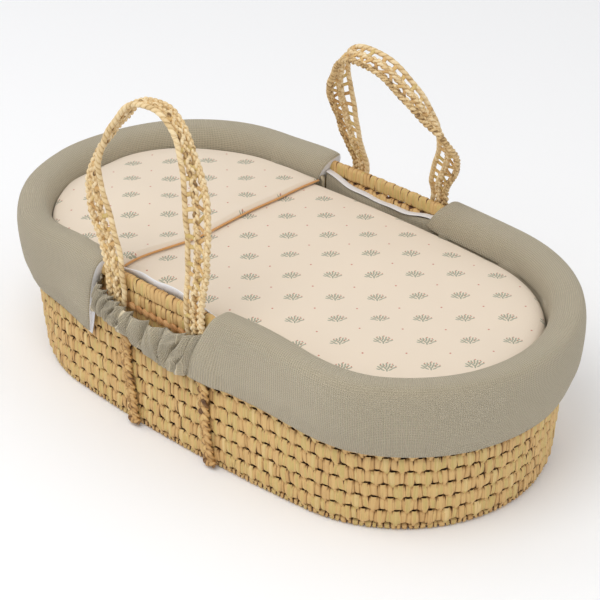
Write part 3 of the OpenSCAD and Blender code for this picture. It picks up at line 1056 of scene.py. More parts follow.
@dataclass
class Handle:
    """One carrying handle: three cords side by side, tied together, over a skewed arch.

    At angle a the arch is arch_h sin(a)^(2/3) high and leg_gap / 2 cos(a)^(2/3) to the side, made
    wider halfway up and shifted by the skew. The band turns from flat on the wall to flat to the hand.
    """

    name: str
    far: bool
    lean: float
    weave: bpy.types.Material
    leaf: bpy.types.Material
    seed: int
    x: float = -0.012
    gap: float = 0.136
    height: float = 0.252
    bulge: float = 0.34
    skew: float = 0.020
    pitch: float = 0.0155
    bend: tuple = (0.22545, 0.216)
    leg: float = 0.080
    count: int = 1100
    tail: float = 0.5
    root: float = 0.80
    top: float = 0.60

    def _arch(self, a: Array) -> Array:
        """The arch in its own plane, as (n, 3) with X along the basket and Z up."""
        rise = np.clip(np.sin(a), 0, 1) ** (2 / 3)
        wide = 1 + self.bulge * np.sin(math.pi * rise) ** 1.5
        side = self.gap / 2 * signed_power(np.cos(a), 2 / 3) * wide
        side = side - self.skew * smooth_step(2 * rise) * (1 - self.tail * smooth_step(2 * rise - 1))
        return np.stack([side, 0 * a, rise * self.height], -1)

    def centre(self) -> tuple[Array, Array, Array]:
        """The middle line from leg to leg, and the directions across and through the band.

        Returns:
            (n, 3) points and two (n, 3) directions, in the handle's own plane, bend at the origin.
        """
        fine = self._arch(np.linspace(math.pi, 0, 4000))
        leg_z = np.linspace(-self.leg, 0, 400, endpoint=False)
        head = np.stack([np.full(400, -self.gap / 2), 0 * leg_z, leg_z], -1)
        foot = np.stack([np.full(400, self.gap / 2), 0 * leg_z, leg_z], -1)[::-1]
        path = spread(np.concatenate([head, fine, foot]), self.count)
        path[:, 1] -= np.minimum(path[:, 2], 0) * 0.0727
        run = np.gradient(path, axis=0)
        run /= np.linalg.norm(run, axis=1, keepdims=True)
        inward = np.cross([0, 1.0, 0], run)
        turn = math.pi / 2 * smooth_step((path[:, 2] / self.height - 0.3) / 0.62)[:, None]
        u = -np.cos(turn) * inward + np.sin(turn) * np.array([0, 1.0, 0])
        u -= run * np.sum(u * run, axis=1, keepdims=True)
        u /= np.linalg.norm(u, axis=1, keepdims=True)
        return path, u, np.cross(run, u)

    def place(self, local: Array) -> Array:
        """Leans points about the bend and puts them on their side of the basket."""
        angle = self.lean * smooth_step((local[..., 2] + 0.025) / 0.05)
        y = local[..., 1] * np.cos(angle) + local[..., 2] * np.sin(angle)
        z = local[..., 2] * np.cos(angle) - local[..., 1] * np.sin(angle)
        y, z = y - self.bend[0], z + self.bend[1]
        x = local[..., 0]
        if self.far:
            x, y = -x, -y
        return np.stack([x + self.x, y, z], -1)

    def _spacing(self, path: Array) -> Array:
        """Distance between neighbouring cords: closer in the straps, at the rim and over the top."""
        share = np.clip(path[:, 2] / self.height, 0, 1)
        legs = 0.5 + 0.5 * smooth_step((path[:, 2] + self.leg - 0.01) / 0.045)
        grow = self.root + (1 - self.root) * smooth_step(share / 0.3)
        return self.pitch * legs * grow * (1 - (1 - self.top) * smooth_step((share - 0.3) / 0.6))

    def build(self) -> None:
        """Makes the three cords and their ties."""
        path, u, v = self.centre()
        space = self._spacing(path)[:, None]
        rng = np.random.default_rng(self.seed)
        grow = np.clip(path[:, 2] / self.height, 0, 1)
        shapes = {
            "outer": (path + u * space, 0.0046, 0.0040),
            "middle": (path.copy(), 0.0047, 0.0040),
            "inner": (path - u * space, 0.0032, 0.0034),
        }
        for part, (line, half_u, half_v) in shapes.items():
            surface = Surface()
            wobble = 0.0006 * np.sin(lengths(line) * 130 + 3 * half_u * 1000)[:, None]
            line = self.place(line + v * wobble)
            side = self.place(line * 0 + path + u * 0.001) - self.place(path)
            if part == "inner":
                tube(surface, line, side, half_u, half_v, rng.uniform(0.55, 0.7), 0, 12, 0.0085, 0.20)
            else:
                plait(surface, line, side, half_u + 0.0003 * np.cos(grow * 9), half_v, 0.024, rng,
                      (0.30, 0.85), 0.46)
            self._finish(surface, f"{part}_cord")
        self._ties(path, u, v, space, rng)

    def _ties(self, path: Array, u: Array, v: Array, space: Array, rng: np.random.Generator) -> None:
        """Short straight bands in the inner gap and slanted ones in the outer gap."""
        surface = Surface()
        run = lengths(path)
        inner_gap, outer_gap = (-1.0, 0.0, 0.0180, 0.05, 0.0031), (0.0, 1.0, 0.0125, 0.75, 0.0024)
        for low, high, step, lean, half in (inner_gap, outer_gap):
            number = int((run[-1] - 0.05) / step)
            for k in range(number):
                at = 0.025 + (k + rng.uniform(-0.12, 0.12)) * step
                slant = lean * (1 if k % 2 else -1) * 0.5 * self.pitch + rng.uniform(-0.001, 0.001)
                t = np.linspace(0, 1, 7)
                where = np.interp(at + slant * (t - 0.5) * 2, run, np.arange(len(run)))
                pick = lambda values: np.stack(
                    [np.interp(where, np.arange(len(run)), values[:, i]) for i in range(3)], -1
                )
                gap = np.interp(where, np.arange(len(run)), space[:, 0])[:, None]
                across = (low + (high - low) * t)[:, None]
                dome = (0.0036 * (1 - 0.45 * np.sin(math.pi * t)))[:, None] * (1 if k % 2 else -1) * 0.35
                line = self.place(pick(path) + pick(u) * gap * across + pick(v) * dome)
                side = np.gradient(self.place(path), axis=0)[int(where[3])]
                flare = 1.25 - 0.35 * np.sin(math.pi * t)
                tube(surface, line, side / np.linalg.norm(side), half * flare, 0.0019 * flare,
                     rng.uniform(0.3, 1.0), 1, 8)
        self._finish(surface, "handle_ties")

    def _finish(self, surface: Surface, part: str) -> None:
        """Names a piece, builds it tied to no body and bakes its placement into its mesh."""
        node = f"{self.name}_{part}"
        piece = surface.build(node, [self.weave, self.leaf], "", "palm_plait", (node,))
        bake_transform(piece)


# ---------------------------------------------------------------- the padded liner


@dataclass
class Liner:
    """The waffle liner: padding inside the wall, a roll over the rim and a skirt outside it.

    It is in a head part and a foot part. Inside each handle a thin panel joins them, and outside
    each handle a gathered strip does.
    """

    outline: Outline
    waffle: bpy.types.Material
    lining: bpy.types.Material
    elastic: bpy.types.Material
    basket: Basket
    rim: float = 0.210
    hem: float = 0.119
    head_cut: float = -0.118
    foot_cut: float = 0.090

    def build(self) -> None:
        """Makes every piece."""
        for end in ("head", "foot"):
            self._bumper(end)
            self._skirt(end)
            self._lining(end)
        for side in (-1, 1):
            name = "near" if side < 0 else "far"
            self._panel(name, side)
            self._gusset(name, side)
            self._elastic(name, side)
        self._floor()

    def _span(self, end: str, cut: float, count: int, extra: float = 0.0) -> Array:
        """Outward angles from one cut round an end to the other cut."""
        if end == "foot":
            stop = float(self.outline.turn_at_x(cut, 1)) + extra
            return self.outline.evenly(-stop, stop, count)
        start = float(self.outline.turn_at_x(cut, 1)) - extra
        return self.outline.evenly(start, TAU - start, count)

    def _cut_shift(self, head: bool, z: Array) -> Array:
        """How far a skirt's cut edge is moved along X at height z; the hem reaches furthest."""
        low = np.clip((self.rim + 0.008 - z) / 0.099, 0, 1)
        return (0.008 - 0.037 * low) if head else (-0.002 - 0.052 * low)

    def _cuts(self, z: Array) -> tuple[Array, Array]:
        """Places along X of the head skirt's and the foot skirt's cut edges at height z."""
        return self.head_cut + self._cut_shift(True, z), self.foot_cut + self._cut_shift(False, z)

    def _droop(self, head: bool, points: Array) -> None:
        """Lets the head skirt's corners hang lower beside its cut edges, in place."""
        if head:
            near_cut = smooth_step((points[..., 0] - self.head_cut + 0.120) / 0.100)
            points[..., 2] -= 0.015 * near_cut * smooth_step((self.rim - 0.025 - points[..., 2]) / 0.065)

    def _inner(self, z: object) -> object:
        """Offset of the liner's outside where it lies against the wall."""
        return self.basket.wall_off(z) - 0.0112

    def _pillow(self, end: str, cut: float, corners: list, count: int, around: int,
                ease_run: float, squeeze: float, waves: object, slant: object = None) -> tuple:
        """Rings of a padded profile swept round an end.

        Args:
            end: head or foot.
            cut: where it stops along X.
            corners: (offset, z) corners of the section, counter-clockwise seen along the sweep.
            count: rings along the outline.
            around: points of the section.
            ease_run: length over which the ends grow to full thickness.
            squeeze: size of the very end's section as a share.
            waves: function of (length, offset, z) that gives (offset, z) shifts.
            slant: function of (end mark, z) that gives a shift along X at the cuts.
        Returns:
            Points (count, around, 3) and the cloth map (count, around + 1, 2).
        """
        turns = self._span(end, cut, count)
        section = closed_curve(corners, around)
        run = np.linspace(0, self.outline.length(turns[0], turns[-1]), count)
        edge = np.minimum(run, run[-1] - run)
        full = squeeze + (1 - squeeze) * np.sqrt(np.clip(1 - (1 - np.clip(edge / ease_run, 0, 1)) ** 2, 0, 1))
        shape = self._thin(section, full)
        off, z = shape[..., 0], shape[..., 1]
        if waves is not None:
            d_off, d_z = waves(run[:, None] + 0 * off, off, z)
            off, z = off + d_off, z + d_z
        points = self.outline.sweep(turns[:, None] + 0 * off, off, z)
        if slant is not None:
            near_end = np.clip(1 - edge / 0.16, 0, 1)[:, None] ** 2
            points[..., 0] += slant(z) * near_end
        around_run = lengths(np.concatenate([section, section[:1]]))
        maps = np.stack(np.broadcast_arrays(run[:, None], around_run[None, :]), -1)
        return points, maps

    @staticmethod
    def _thin(section: Array, full: Array) -> Array:
        """The section drawn towards its own spine where the piece ends, for each ring."""
        mirror = np.roll(section[::-1], 1, axis=0)
        spine = (section + mirror) / 2
        return spine[None] + (section - spine)[None] * full[:, None, None]

    def _bumper(self, end: str) -> None:
        """Padding inside the wall: a tall pillow with soft waves and a seam."""
        cut = self.head_cut if end == "head" else self.foot_cut
        pairs = []
        for z in np.linspace(0.018, 0.194, 9):
            pairs.append((float(self._inner(z)) + 0.0002, float(z)))
        inner = [(o - 0.0172, z) for o, z in pairs[::-1]]
        mid_top = ((pairs[-1][0] + inner[0][0]) / 2, 0.1968)
        mid_low = ((pairs[0][0] + inner[-1][0]) / 2, 0.0160)
        corners = pairs + [mid_top] + inner + [mid_low]

        def waves(run: Array, off: Array, z: Array) -> tuple:
            """Soft vertical puckers on the inner face, strongest near the floor."""
            face = smooth_step((self._inner(z) - 0.009 - off) / 0.006)
            rough = np.sin(run * 41 + 2 * np.sin(run * 9)) * 0.0012 + np.sin(run * 97 + z * 20) * 0.0005
            return rough * face, 0 * z

        points, maps = self._pillow(end, cut, corners, 420, 44, 0.012, 0.25, waves)
        surface = Surface().capped_tube(points, maps)
        piece = surface.build(f"{end}_bumper", [self.waffle], BASKET, "waffle_fabric", (f"{end}_bumper",))

    def _skirt_corners(self) -> list:
        """Section of the roll and the skirt, from the hem up the outside, over, and back down inside."""
        hem = self.hem
        hem_off = float(self.basket.wall_off(hem + 0.01)) + 0.0026
        outer = [
            (hem_off + 0.0016, hem - 0.0006), (hem_off + 0.0046, hem + 0.0020),
            (hem_off + 0.0082, hem + 0.014),
            (0.0092, self.rim - 0.063), (0.0122, self.rim - 0.043), (0.0138, self.rim - 0.024),
            (0.0134, self.rim - 0.008), (0.0100, self.rim + 0.0040), (0.0030, self.rim + 0.0082),
        ]
        inside = [
            (-0.0100, self.rim + 0.0080), (-0.0200, self.rim + 0.0052), (-0.0272, self.rim - 0.0018),
            (-0.0302, self.rim - 0.0100), (-0.0312, self.rim - 0.0220), (-0.0310, self.rim - 0.0300),
            (-0.0298, self.rim - 0.0220), (-0.0280, self.rim - 0.0120), (-0.0220, self.rim - 0.0095),
            (-0.0128, self.rim - 0.0085), (-0.0118, self.rim - 0.0020), (-0.0100, self.rim + 0.0012),
            (-0.0030, self.rim + 0.0016), (0.0012, self.rim + 0.0004), (0.0022, self.rim - 0.0100),
        ]
        back = [(0.0010, self.rim - 0.036), (-0.0010, self.rim - 0.064)]
        return outer + inside + back

    def _skirt(self, end: str) -> None:
        """The roll over the rim and the skirt outside it, with folds and stitched seams."""
        head = end == "head"
        cut = self.head_cut if head else self.foot_cut
        hem = self.hem

        def waves(run: Array, off: Array, z: Array) -> tuple:
            """Slow bulges down the skirt, a wavy hem, and small tension folds by the roll."""
            low = smooth_step((self.rim - z) / 0.10)
            outside = smooth_step((off + 0.004) / 0.010)
            bulge = (np.sin(run * 11.0 + 1.3) * 0.0020 + np.sin(run * 23.0 + z * 14 + 0.4) * 0.0012
                     + np.sin(run * 53.0 + z * 30) * 0.0005)
            ends = np.exp(-np.minimum(run, run.max() - run) / 0.05)
            bulge = bulge * (0.35 + 0.65 * low) * (1 - 0.6 * ends)
            roll = smooth_step((z - self.rim - 0.002) / 0.006)
            crease = np.sin(run * 37 + np.sin(run * 13) * 2) * 0.0006 + np.sin(run * 8.0) * 0.0011
            hem_wave = np.sin(run * 9.0 + 0.7) * 0.0022 * smooth_step((hem + 0.03 - z) / 0.03)
            return bulge * outside, crease * roll + hem_wave

        def slant(z: Array) -> Array:
            """The cut edges slope: the hem reaches further towards the middle of the basket."""
            return self._cut_shift(head, z)

        points, maps = self._pillow(end, cut, self._skirt_corners(), 520, 72, 0.010, 0.55, waves, slant)
        middle = (self.head_cut + self.foot_cut) / 2
        reach = abs((self.head_cut if head else self.foot_cut) - middle)
        near_cut = smooth_step((reach + 0.012 - np.abs(points[..., 0] - middle)) / 0.030)
        lift = near_cut * smooth_step((self.rim - 0.012 - points[..., 2]) / 0.03)
        points[..., 1] += np.sign(points[..., 1]) * lift * 0.0050
        self._droop(head, points)
        surface = Surface().capped_tube(points, maps, cap_slot=1)
        name = f"{end}_skirt"
        piece = surface.build(name, [self.waffle, self.lining], BASKET, "waffle_fabric", (name,))

    def _lining(self, end: str) -> None:
        """The white lining behind the skirt; it shows a little below the hem."""
        head = end == "head"
        cut = (self.head_cut + 0.003) if head else (self.foot_cut - 0.003)
        turns = self._span(end, cut, 420)
        share = np.linspace(0, 1, 12)
        z = self.hem - 0.0030 + share * 0.048
        run = np.linspace(0, self.outline.length(turns[0], turns[-1]), 420)
        wave = np.sin(run * 9.0 + 0.7)[:, None] * 0.0022 * (1 - share) ** 2
        off = self.basket.wall_off(z + 0.01) + 0.0010
        z_all = z[None] + wave
        points = self.outline.sweep(turns[:, None] + 0 * z_all, off[None] + 0 * z_all, z_all)
        edge = np.minimum(run, run[-1] - run)
        near_end = np.clip(1 - edge / 0.16, 0, 1)[:, None] ** 2
        points[..., 0] += self._cut_shift(head, points[..., 2]) * near_end
        points[..., 1] += np.sign(points[..., 1]) * near_end * 0.0035
        self._droop(head, points)
        front = points
        back = points.copy()
        back[..., :2] *= 1 - 0.0009 / np.linalg.norm(points[..., :2], axis=-1, keepdims=True)
        loop = np.concatenate([front, back[:, ::-1]], axis=1)
        around = np.linspace(0, 0.10, loop.shape[1] + 1)
        maps = np.stack(np.broadcast_arrays(run[:, None], around[None]), -1)
        surface = Surface().capped_tube(loop, maps)
        name = f"{end}_skirt_lining"
        piece = surface.build(name, [self.lining], BASKET, "white_lining", (name,))

    def _strip(self, side: int, x0: float, x1: float, count: int) -> tuple[Array, Array]:
        """Outward angles along a long side between two places, and lengths along it."""
        turns = self.outline.turn_at_x(np.linspace(x0, x1, count), side)
        points, _ = self.outline.at(turns)
        return turns, lengths(points)

    @staticmethod
    def _side_tube(surface: Surface, points: Array, run: Array, around: Array, side: int) -> Surface:
        """Adds a closed strip that runs along a long side.

        Args:
            surface: where to add it.
            points: (n, m, 3) rings, from the head to the foot.
            run: (n, 1) lengths along the strip.
            around: (m + 1,) lengths round a ring.
            side: 1 for the far side, where the rings run the other way so that faces look out.
        Returns:
            The surface.
        """
        maps = np.stack(np.broadcast_arrays(run, around[None]), -1)
        if side > 0:
            points, maps = points[::-1], maps[::-1]
        return surface.capped_tube(points, maps)

    def _panel(self, name: str, side: int) -> None:
        """The thin panel inside a handle, with a white flap of binding along its sagging top."""
        turns, run = self._strip(side, self.head_cut + 0.002, self.foot_cut - 0.002, 120)
        share = (run / run[-1])[:, None]
        corners = []
        outer_z = np.linspace(0.017, 0.195, 9)
        for z in outer_z:
            corners.append((float(self._inner(z)) - 0.0004, float(z)))
        inner = [(o - 0.0058, z) for o, z in corners[::-1]]
        corners = corners + [((corners[-1][0] + inner[0][0]) / 2, 0.1966)] + inner
        section = closed_curve(corners, 44)
        sag = np.sin(math.pi * share) ** 0.8 * (0.016 if side > 0 else -0.006)
        z = section[None, :, 1] - sag * smooth_step((section[None, :, 1] - 0.08) / 0.11)
        off = section[None, :, 0] + 0.0009 * np.sin(run * 70)[:, None] - 0.0011 * np.sin(share * 9 + z * 30)
        points = self.outline.sweep(turns[:, None] + 0 * z, off, z)
        around = lengths(np.concatenate([section, section[:1]]))
        node = f"{name}_side_panel"
        surface = self._side_tube(Surface(), points, run[:, None], around, side)
        piece = surface.build(node, [self.waffle], BASKET, "white_lining", (node,))
        self._binding(name, side, turns, run, sag)

    def _binding(self, name: str, side: int, turns: Array, run: Array, sag: Array) -> None:
        """White binding folded over the panel's top edge, wider where the lining flips out."""
        off = float(self._inner(0.196)) - 0.0035
        tall, wide = (0.0010, 0.0048) if side > 0 else (0.0080, 0.0016)
        turn = np.linspace(0, TAU, 22, endpoint=False)
        shape = (wide * signed_power(np.cos(turn), 0.7), tall * signed_power(np.sin(turn), 0.7))
        share = (run / run[-1])[:, None]
        swell = 0.35 + 0.65 * np.sin(math.pi * share) ** 0.6 if side < 0 else 1 + 0 * share
        z = 0.1972 + tall * 0.9 * swell - sag + shape[1] * swell + 0.0008 * np.sin(run * 120)[:, None]
        o = off + shape[0] + 0.0012 * np.sin(run * 75 + 1)[:, None] + 0.30 * (shape[1] + tall) * (side < 0)
        section = np.stack(shape, -1)
        points = self.outline.sweep(turns[:, None] + 0 * z, o + 0 * z, z)
        around = lengths(np.concatenate([section, section[:1]]))
        node = f"{name}_panel_binding"
        surface = self._side_tube(Surface(), points, run[:, None], around, side)
        piece = surface.build(node, [self.lining], BASKET, "white_lining", (node,))

    def _gusset(self, name: str, side: int) -> None:
        """The gathered strip outside a handle: deep uneven folds between the two skirts.

        Its ends follow the skirts' slanted cut edges and are tucked under them.
        """
        count, rows = 520, 34
        share = np.linspace(0, 1, count)[:, None]
        up = np.linspace(0, 1, rows)[None]
        low, top = self._gusset_edges(share)
        drift = 0.42 * np.sin(up * 2.6 + share * 9) + 0.26 * np.sin(up * 5.2 + share * 23)
        bend = share * 25.0 + 2.4 * np.sin(share * 6.5 - 0.6) + drift
        fold = np.abs(np.sin(bend * math.pi / 2)) ** 0.75 * 2 - 1
        fine = np.sin(bend * 6.1 + 2 * drift * 3) * 0.24 + np.sin(bend * 11.3 + up * 5) * 0.09
        tuck = smooth_step(share / 0.09) * smooth_step((1 - share) / 0.10)
        size = 0.0052 * tuck * (0.55 + 0.45 * np.sin(math.pi * up) ** 0.5)
        belly = 0.0045 * np.sin(math.pi * up) * tuck
        z = low + (top - low) * up + 0.0016 * fold * np.cos(math.pi * up) * tuck
        start, stop = self._cuts(z)
        start, stop = start + 0.001, stop + 0.010
        x = start + (stop - start) * share + 0.0028 * np.cos(bend * math.pi) * tuck
        turns = self.outline.turn_at_x(x.ravel(), side).reshape(x.shape)
        lift = 0.0020 + 0.0160 * tuck + belly + size * (fold + fine)
        off = self.basket.wall_off(z) + lift
        points = self.outline.sweep(turns, off, z)
        back = self.outline.sweep(turns, off - 0.0014, z)
        loop = np.concatenate([points, back[:, ::-1]], axis=1)
        around = np.linspace(0, 0.12, loop.shape[1] + 1)
        stretched = lengths(np.stack([x[:, 17], off[:, 17], 0 * x[:, 17]], -1))[:, None]
        node = f"{name}_gusset"
        surface = self._side_tube(Surface(), loop, stretched, around, side)
        piece = surface.build(node, [self.waffle], BASKET, "waffle_fabric", (node,))

    @staticmethod
    def _gusset_edges(share: Array) -> tuple[Array, Array]:
        """Heights of the gathered strip's lower and upper edge, by its share of the way."""
        low = 0.148 - 0.025 * smooth_step(share * 1.1 - 0.1) - 0.006 * np.sin(math.pi * share)
        top = 0.1940 - 0.021 * np.abs(np.sin(math.pi * share)) ** 1.1
        return low, top

    @staticmethod
    def _area(grid: Array) -> float:
        """Area of one face of a grid of points."""
        a = grid[1:, :-1] - grid[:-1, :-1]
        b = grid[:-1, 1:] - grid[:-1, :-1]
        return float(np.linalg.norm(np.cross(a, b), axis=-1).sum())

    def _elastic(self, name: str, side: int) -> None:
        """Two elastic bands behind the gathered strip."""
        surface = Surface()
        share = np.linspace(0.12, 0.88, 90)[:, None]
        low, top = self._gusset_edges(share)
        for height in (low + 0.008, top - 0.018):
            z = height + np.array([0, 0.008, 0.008, 0])
            start, stop = self._cuts(z)
            x = start + (stop - start) * share
            turns = self.outline.turn_at_x(x.ravel(), side).reshape(x.shape)
            off = self.basket.wall_off(z) + np.array([0.0112, 0.0112, 0.0104, 0.0104])
            points = self.outline.sweep(turns, off, z)
            run = lengths(points[:, 0])
            self._side_tube(surface, points, run[:, None], np.linspace(0, 0.018, 5), side)
        node = f"{name}_elastic"
        piece = surface.build(node, [self.elastic], BASKET, "elastic", (node,))

    def _floor(self) -> None:
        """The liner's quilted floor under the mattress."""
        piece = plate(self.outline, "liner_floor", [self.lining], -0.0272, 0.0106, 0.0154, 0.0,
                      "white_lining", ("liner_floor",))


def plate(outline: Outline, name: str, materials: list, off: float, z0: float, z1: float,
          flare: float, slot: str, nodes: tuple, shape: object = None) -> bpy.types.Object:
    """A closed soft slab of the outline's shape.

    Rings run from the middle of the underside, out round the rounded edge, and back to the middle
    of the top. A ring's share k of the way in is the outline scaled towards a line along X.

    Args:
        outline: the oval.
        name: the piece's name.
        materials: its materials.
        off: offset of its edge from the outline.
        z0, z1: underside and top at the edge.
        flare: how much further out the edge is at the top.
        slot: the record's material slot.
        nodes: nodes that it stands for.
        shape: function of (points, mark) that moves the points, where mark is 1 on the top.
    Returns:
        The object.
    """
    around = 260
    turns = outline.evenly(0, TAU, around + 1)[:-1]
    edge, out = outline.at(turns)
    half = (z1 - z0) / 2
    bead = min(half, 0.022)
    inward = np.linspace(0, 1, 64)[1:]
    rim_angle = np.linspace(-math.pi / 2, math.pi / 2, 16)
    shares = np.concatenate([inward[::-1], np.zeros(16), inward])
    round_ = bead * (1 - np.clip(np.cos(rim_angle), 0, 1) ** 0.55)
    level = (z0 + z1) / 2 + half * signed_power(np.sin(rim_angle), 0.55)
    sink = np.concatenate([np.full(63, bead), round_, np.full(63, bead)])
    heights = np.concatenate([np.full(63, z0), level, np.full(63, z1)])
    top = np.concatenate([np.zeros(63), (np.sin(rim_angle) + 1) / 2, np.ones(63)])
    spine_x = np.clip(edge[:, 0], -outline.end_x, outline.end_x)
    spine = np.stack([spine_x, 0 * spine_x], -1)
    rings = []
    for share, depth, height in zip(shares, sink, heights):
        ring = edge + out * (off - depth + flare * (height - z0) / (z1 - z0))
        ring = ring + (spine - ring) * share
        rings.append(np.concatenate([ring, np.full((around, 1), height)], axis=1))
    points = np.stack(rings)
    if shape is not None:
        points = shape(points, top[:, None])
    points = points[::-1]
    maps = np.concatenate([points, points[:, :1]], axis=1)[..., :2]
    surface = Surface().grid(points, maps, 0.5, 0, True)
    return surface.build(name, materials, BASKET, slot, nodes)


# ---------------------------------------------------------------- bedding


@dataclass
class Bedding:
    """Mattress, fitted sheet, puffed duvet with its top turned back, and an ochre tube along that edge,
    painted shadow with warm bounce light in the crease.
    """

    outline: Outline
    foam: bpy.types.Material
    cotton: bpy.types.Material
    crease_shade: bpy.types.Material
    edge_x: float = -0.112
    off: float = -0.0452
    top_off: float = -0.0302

    def build(self) -> None:
        """Makes every piece."""
        piece = plate(self.outline, "mattress", [self.foam], self.off, 0.0162, 0.0938, 0.0,
                      "mattress_foam", ("mattress",))
        piece = plate(self.outline, "fitted_sheet", [self.cotton], self.off, 0.0946, 0.0959, 0.0,
                      "printed_cotton", ("fitted_sheet",))
        flat = self._oval_area()
        piece = plate(self.outline, "duvet", [self.cotton], -0.0370, 0.0966, 0.1870, 0.0070,
                      "printed_cotton", ("duvet",), self._duvet_shape)
        self._turn_back()
        self._crease_shade()

    def _oval_area(self) -> float:
        """Area of the bedding's oval."""
        turns = np.linspace(0, TAU, 2000)
        points, out = self.outline.at(turns)
        p = points + out * self.off
        return float(abs(np.sum(p[:-1, 0] * p[1:, 1] - p[1:, 0] * p[:-1, 1])) / 2)

    def _top(self, x: Array, y: Array) -> Array:
        """Height of the duvet's top at a place: a soft dome with broad, shallow wrinkles."""
        far = np.clip(np.abs(x) - self.outline.end_x, 0, None)
        edge = 1 - np.clip(np.hypot(far, y) / (self.outline.end_radius + self.top_off), 0, 1)
        dome = 0.0065 * (1 - (1 - edge) ** 3)
        ripple = (np.sin(x * 17 + y * 6 + 1.0) * 0.0010 + np.sin(y * 29 - x * 9) * 0.0007
                  + np.sin(x * 43 + np.sin(y * 21) * 1.4) * 0.00045
                  + np.sin(y * 61 + x * 23 + 2.0) * 0.0003)
        pull = 0.0016 * np.sin((x - y * 0.7) * 38 + 0.5) * np.exp(-(((x + 0.02) / 0.10) ** 2))
        return 0.1870 + dome + (ripple + pull * 0.5) * smooth_step(edge / 0.12)

    def _duvet_shape(self, points: Array, top: Array) -> Array:
        """Raises the slab's top to the dome, and softens its edge."""
        x, y, z = points[..., 0], points[..., 1], points[..., 2]
        raised = self._top(x, y) - 0.1870
        puckers = 0.0009 * np.sin(np.arctan2(y, x) * 46 + 2 * np.sin(x * 19)) * top * (1 - top) * 4
        return np.stack([x * (1 + puckers), y * (1 + puckers), z + raised * top], -1)

    def _turn_back(self) -> None:
        """The folded-back head third: a soft layer over the duvet, thickest at its straight edge."""
        columns, rows = 130, 110
        across = np.linspace(-1, 1, columns)[None]
        x_edge, x_far = self.edge_x - 0.0035, -(self.outline.half_length + self.top_off - 0.002)
        along = 1 - np.cos(np.linspace(0, math.pi / 2, rows))[:, None]
        x = x_far + (x_edge - x_far) * along
        reach = self._half_width(x)
        y = across * reach
        x = x + 0 * y
        edge = smooth_step((x_edge + 0.0015 - x) / 0.016)
        rim = np.clip(1 - np.abs(across), 0, 1) * reach
        round_off = np.sqrt(np.clip(1 - (1 - np.clip(rim / 0.009, 0, 1)) ** 2, 0, 1))
        front = np.sqrt(np.clip(1 - (1 - np.clip((x_edge - x) / 0.005, 0, 1)) ** 2, 0, 1))
        head = np.sqrt(np.clip(1 - (1 - np.clip((x - x_far) / 0.012, 0, 1)) ** 2, 0, 1))
        thick = (0.0062 + 0.0022 * np.sin(y * 14 + 0.6) ** 2 * (1 - edge)) * round_off * front * head
        ripple = (0.0007 * np.sin(x * 37 + y * 15) + 0.0006 * np.sin(y * 44 - x * 12)
                  + 0.0011 * np.exp(-(((x - x_edge + 0.03 + 0.02 * np.sin(y * 11)) / 0.012) ** 2)))
        base = self._top(x, y) + 0.0006
        top_z = base + thick + ripple * round_off * head * front
        upper = np.stack([x, y, top_z], -1)
        lower = np.stack([x, y, base - 0.0003 + 0 * thick], -1)
        rings = np.concatenate([upper, lower[:, ::-1]], axis=1)
        maps = np.concatenate([rings, rings[:, :1]], axis=1)[..., :2]
        surface = Surface().capped_tube(rings, maps)
        piece = surface.build("turn_back", [self.cotton], BASKET, "printed_cotton", ("turn_back",))

    def _half_width(self, x: Array) -> Array:
        """Half the bedding's width at a place along X."""
        end_r = self.outline.end_radius + self.top_off
        far = np.clip(np.abs(x) - self.outline.end_x, 0, end_r - 0.001)
        round_ = np.sqrt(np.clip(end_r**2 - far**2, 0, None))
        bow = self.outline.bow * (1 - (np.abs(x) / self.outline.end_x) ** 2)
        return round_ + np.clip(bow, 0, None) - 0.002

    def _crease_shade(self) -> None:
        """An ochre tube along the turned-back edge, following the duvet's dome: painted shadow with warm
        bounce light in the crease under that edge.
        """
        reach = float(self._half_width(np.array([self.edge_x]))[0]) - 0.002
        y = np.linspace(-reach, reach, 160)
        x = self.edge_x - 0.0026 + 0.0006 * np.sin(y * 22) + 0.0003 * np.sin(y * 71)
        z = self._top(x, y) + 0.0030
        path = np.stack([x, y, z], -1)
        surface = Surface()
        tube(surface, path, np.array([1.0, 0, 0]), 0.00155, 0.0015, 0.5, 0, 10)
        surface.build("turn_back_piping", [self.crease_shade], BASKET, "ochre_piping", ("turn_back_piping",))


# ---------------------------------------------------------------- studio


class Light(Enum):
    """The soft lights: place, where each points, size, power and colour."""

    KEY = ((0.2, -1.2, 2.4), (0.0, 0.0, 0.15), 1.8, 24.0, (1.0, 0.985, 0.96))
    LEFT = ((-2.2, -0.9, 1.6), (0.0, 0.0, 0.15), 2.0, 8.0, (0.97, 0.98, 1.0))
    RIGHT = ((2.3, 0.6, 1.5), (0.0, 0.0, 0.15), 2.0, 5.0, (1.0, 0.99, 0.97))


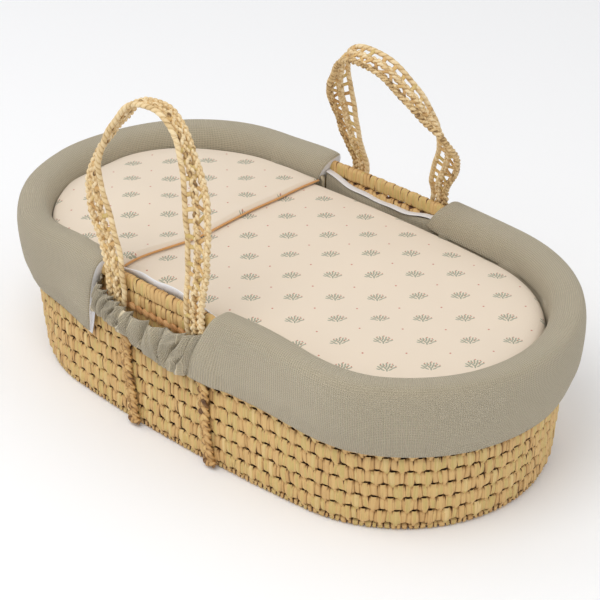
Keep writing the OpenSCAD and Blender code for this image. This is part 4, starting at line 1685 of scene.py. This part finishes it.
@dataclass
class Studio:
    """A pale floor, soft lights and the camera."""

    eye: tuple = (1.49766, -1.60522, 1.46160)
    lens: float = 119.5
    azimuth: float = 42.67
    elevation: float = 31.29

    def build(self) -> None:
        """Sets up the scene round the object."""
        self._floor()
        self._world()
        for light in Light:
            self._light(light)
        self._camera()

    def _floor(self) -> None:
        """A wide white floor."""
        mesh = bpy.data.meshes.new("floor")
        size = 9.0
        mesh.from_pydata([(-size, -size, 0), (size, -size, 0), (size, size, 0), (-size, size, 0)], [],
                         [(0, 1, 2, 3)])
        floor = bpy.data.objects.new("floor", mesh)
        bpy.context.scene.collection.objects.link(floor)
        shop = ShaderShop("floor")
        mesh.materials.append(shop.finish((0.97, 0.975, 0.99, 1), 0.9))

    def _world(self) -> None:
        """An even white surround."""
        world = bpy.data.worlds.new("studio")
        world.use_nodes = True
        back = world.node_tree.nodes["Background"]
        back.inputs[0].default_value = (1.0, 1.0, 1.0, 1)
        back.inputs[1].default_value = 0.72
        bpy.context.scene.world = world
        bpy.context.scene.view_settings.view_transform = "Standard"

    def _light(self, light: Light) -> None:
        """Adds one area light."""
        place, target, size, power, colour = light.value
        data = bpy.data.lights.new(light.name.lower(), "AREA")
        data.shape, data.size, data.energy, data.color = "DISK", size, power, colour
        lamp = bpy.data.objects.new(light.name.lower(), data)
        lamp.location = place
        lamp.rotation_euler = (Vector(target) - Vector(place)).to_track_quat("-Z", "Y").to_euler()
        bpy.context.scene.collection.objects.link(lamp)

    def _camera(self) -> None:
        """Adds the camera and makes it the scene's own."""
        data = bpy.data.cameras.new("camera")
        data.lens, data.sensor_width = self.lens, 36.0
        data.clip_end = 50
        camera = bpy.data.objects.new("camera", data)
        camera.location = self.eye
        camera.rotation_euler = (
            math.radians(90 - self.elevation), 0.0, math.radians(self.azimuth)
        )
        bpy.context.scene.collection.objects.link(camera)
        bpy.context.scene.camera = camera


def main() -> None:
    """Builds everything."""
    logging.basicConfig(level=logging.INFO, format="%(name)s: %(message)s")
    low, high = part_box("rim_coil")
    outline = Outline((high[0] - low[0]) / 2, (high[1] - low[1]) / 2)
    leaf, core = PalmLeaf().make(), CoreShade().make()
    weave = PalmLeaf("palm_plait", PALE_SHADES, 700.0).make()
    waffle = Waffle().make()
    lining = PlainCotton("white_lining", (0.80, 0.79, 0.80), (0.88, 0.87, 0.89)).make()
    elastic = PlainCotton("elastic", (0.78, 0.77, 0.75), (0.86, 0.85, 0.83), 0.0020).make()
    foam = PlainCotton("mattress_foam", (0.80, 0.78, 0.72), (0.86, 0.84, 0.79)).make()
    # the ochre colour is painted shadow with warm bounce light in the crease under the turned-back edge
    crease_shade = PlainCotton("ochre_piping", (0.62, 0.30, 0.09), (0.75, 0.40, 0.15), 0.0009).make()
    cotton = SprigPrint().make()
    basket = Basket(outline, leaf, core, weave, BrownCord().make())
    basket.build()
    basket.straps()
    Handle("near", False, math.radians(5.5), weave, leaf, 21, height=0.237).build()
    Handle("far", True, math.radians(25), weave, leaf, 22, x=-0.008, height=0.239, bulge=0.32,
           skew=0.028, tail=0.2, root=0.66, top=0.82).build()
    Liner(outline, waffle, lining, elastic, basket).build()
    Bedding(outline, foam, cotton, crease_shade).build()
    Studio().build()


if __name__ == "__main__":
    main()
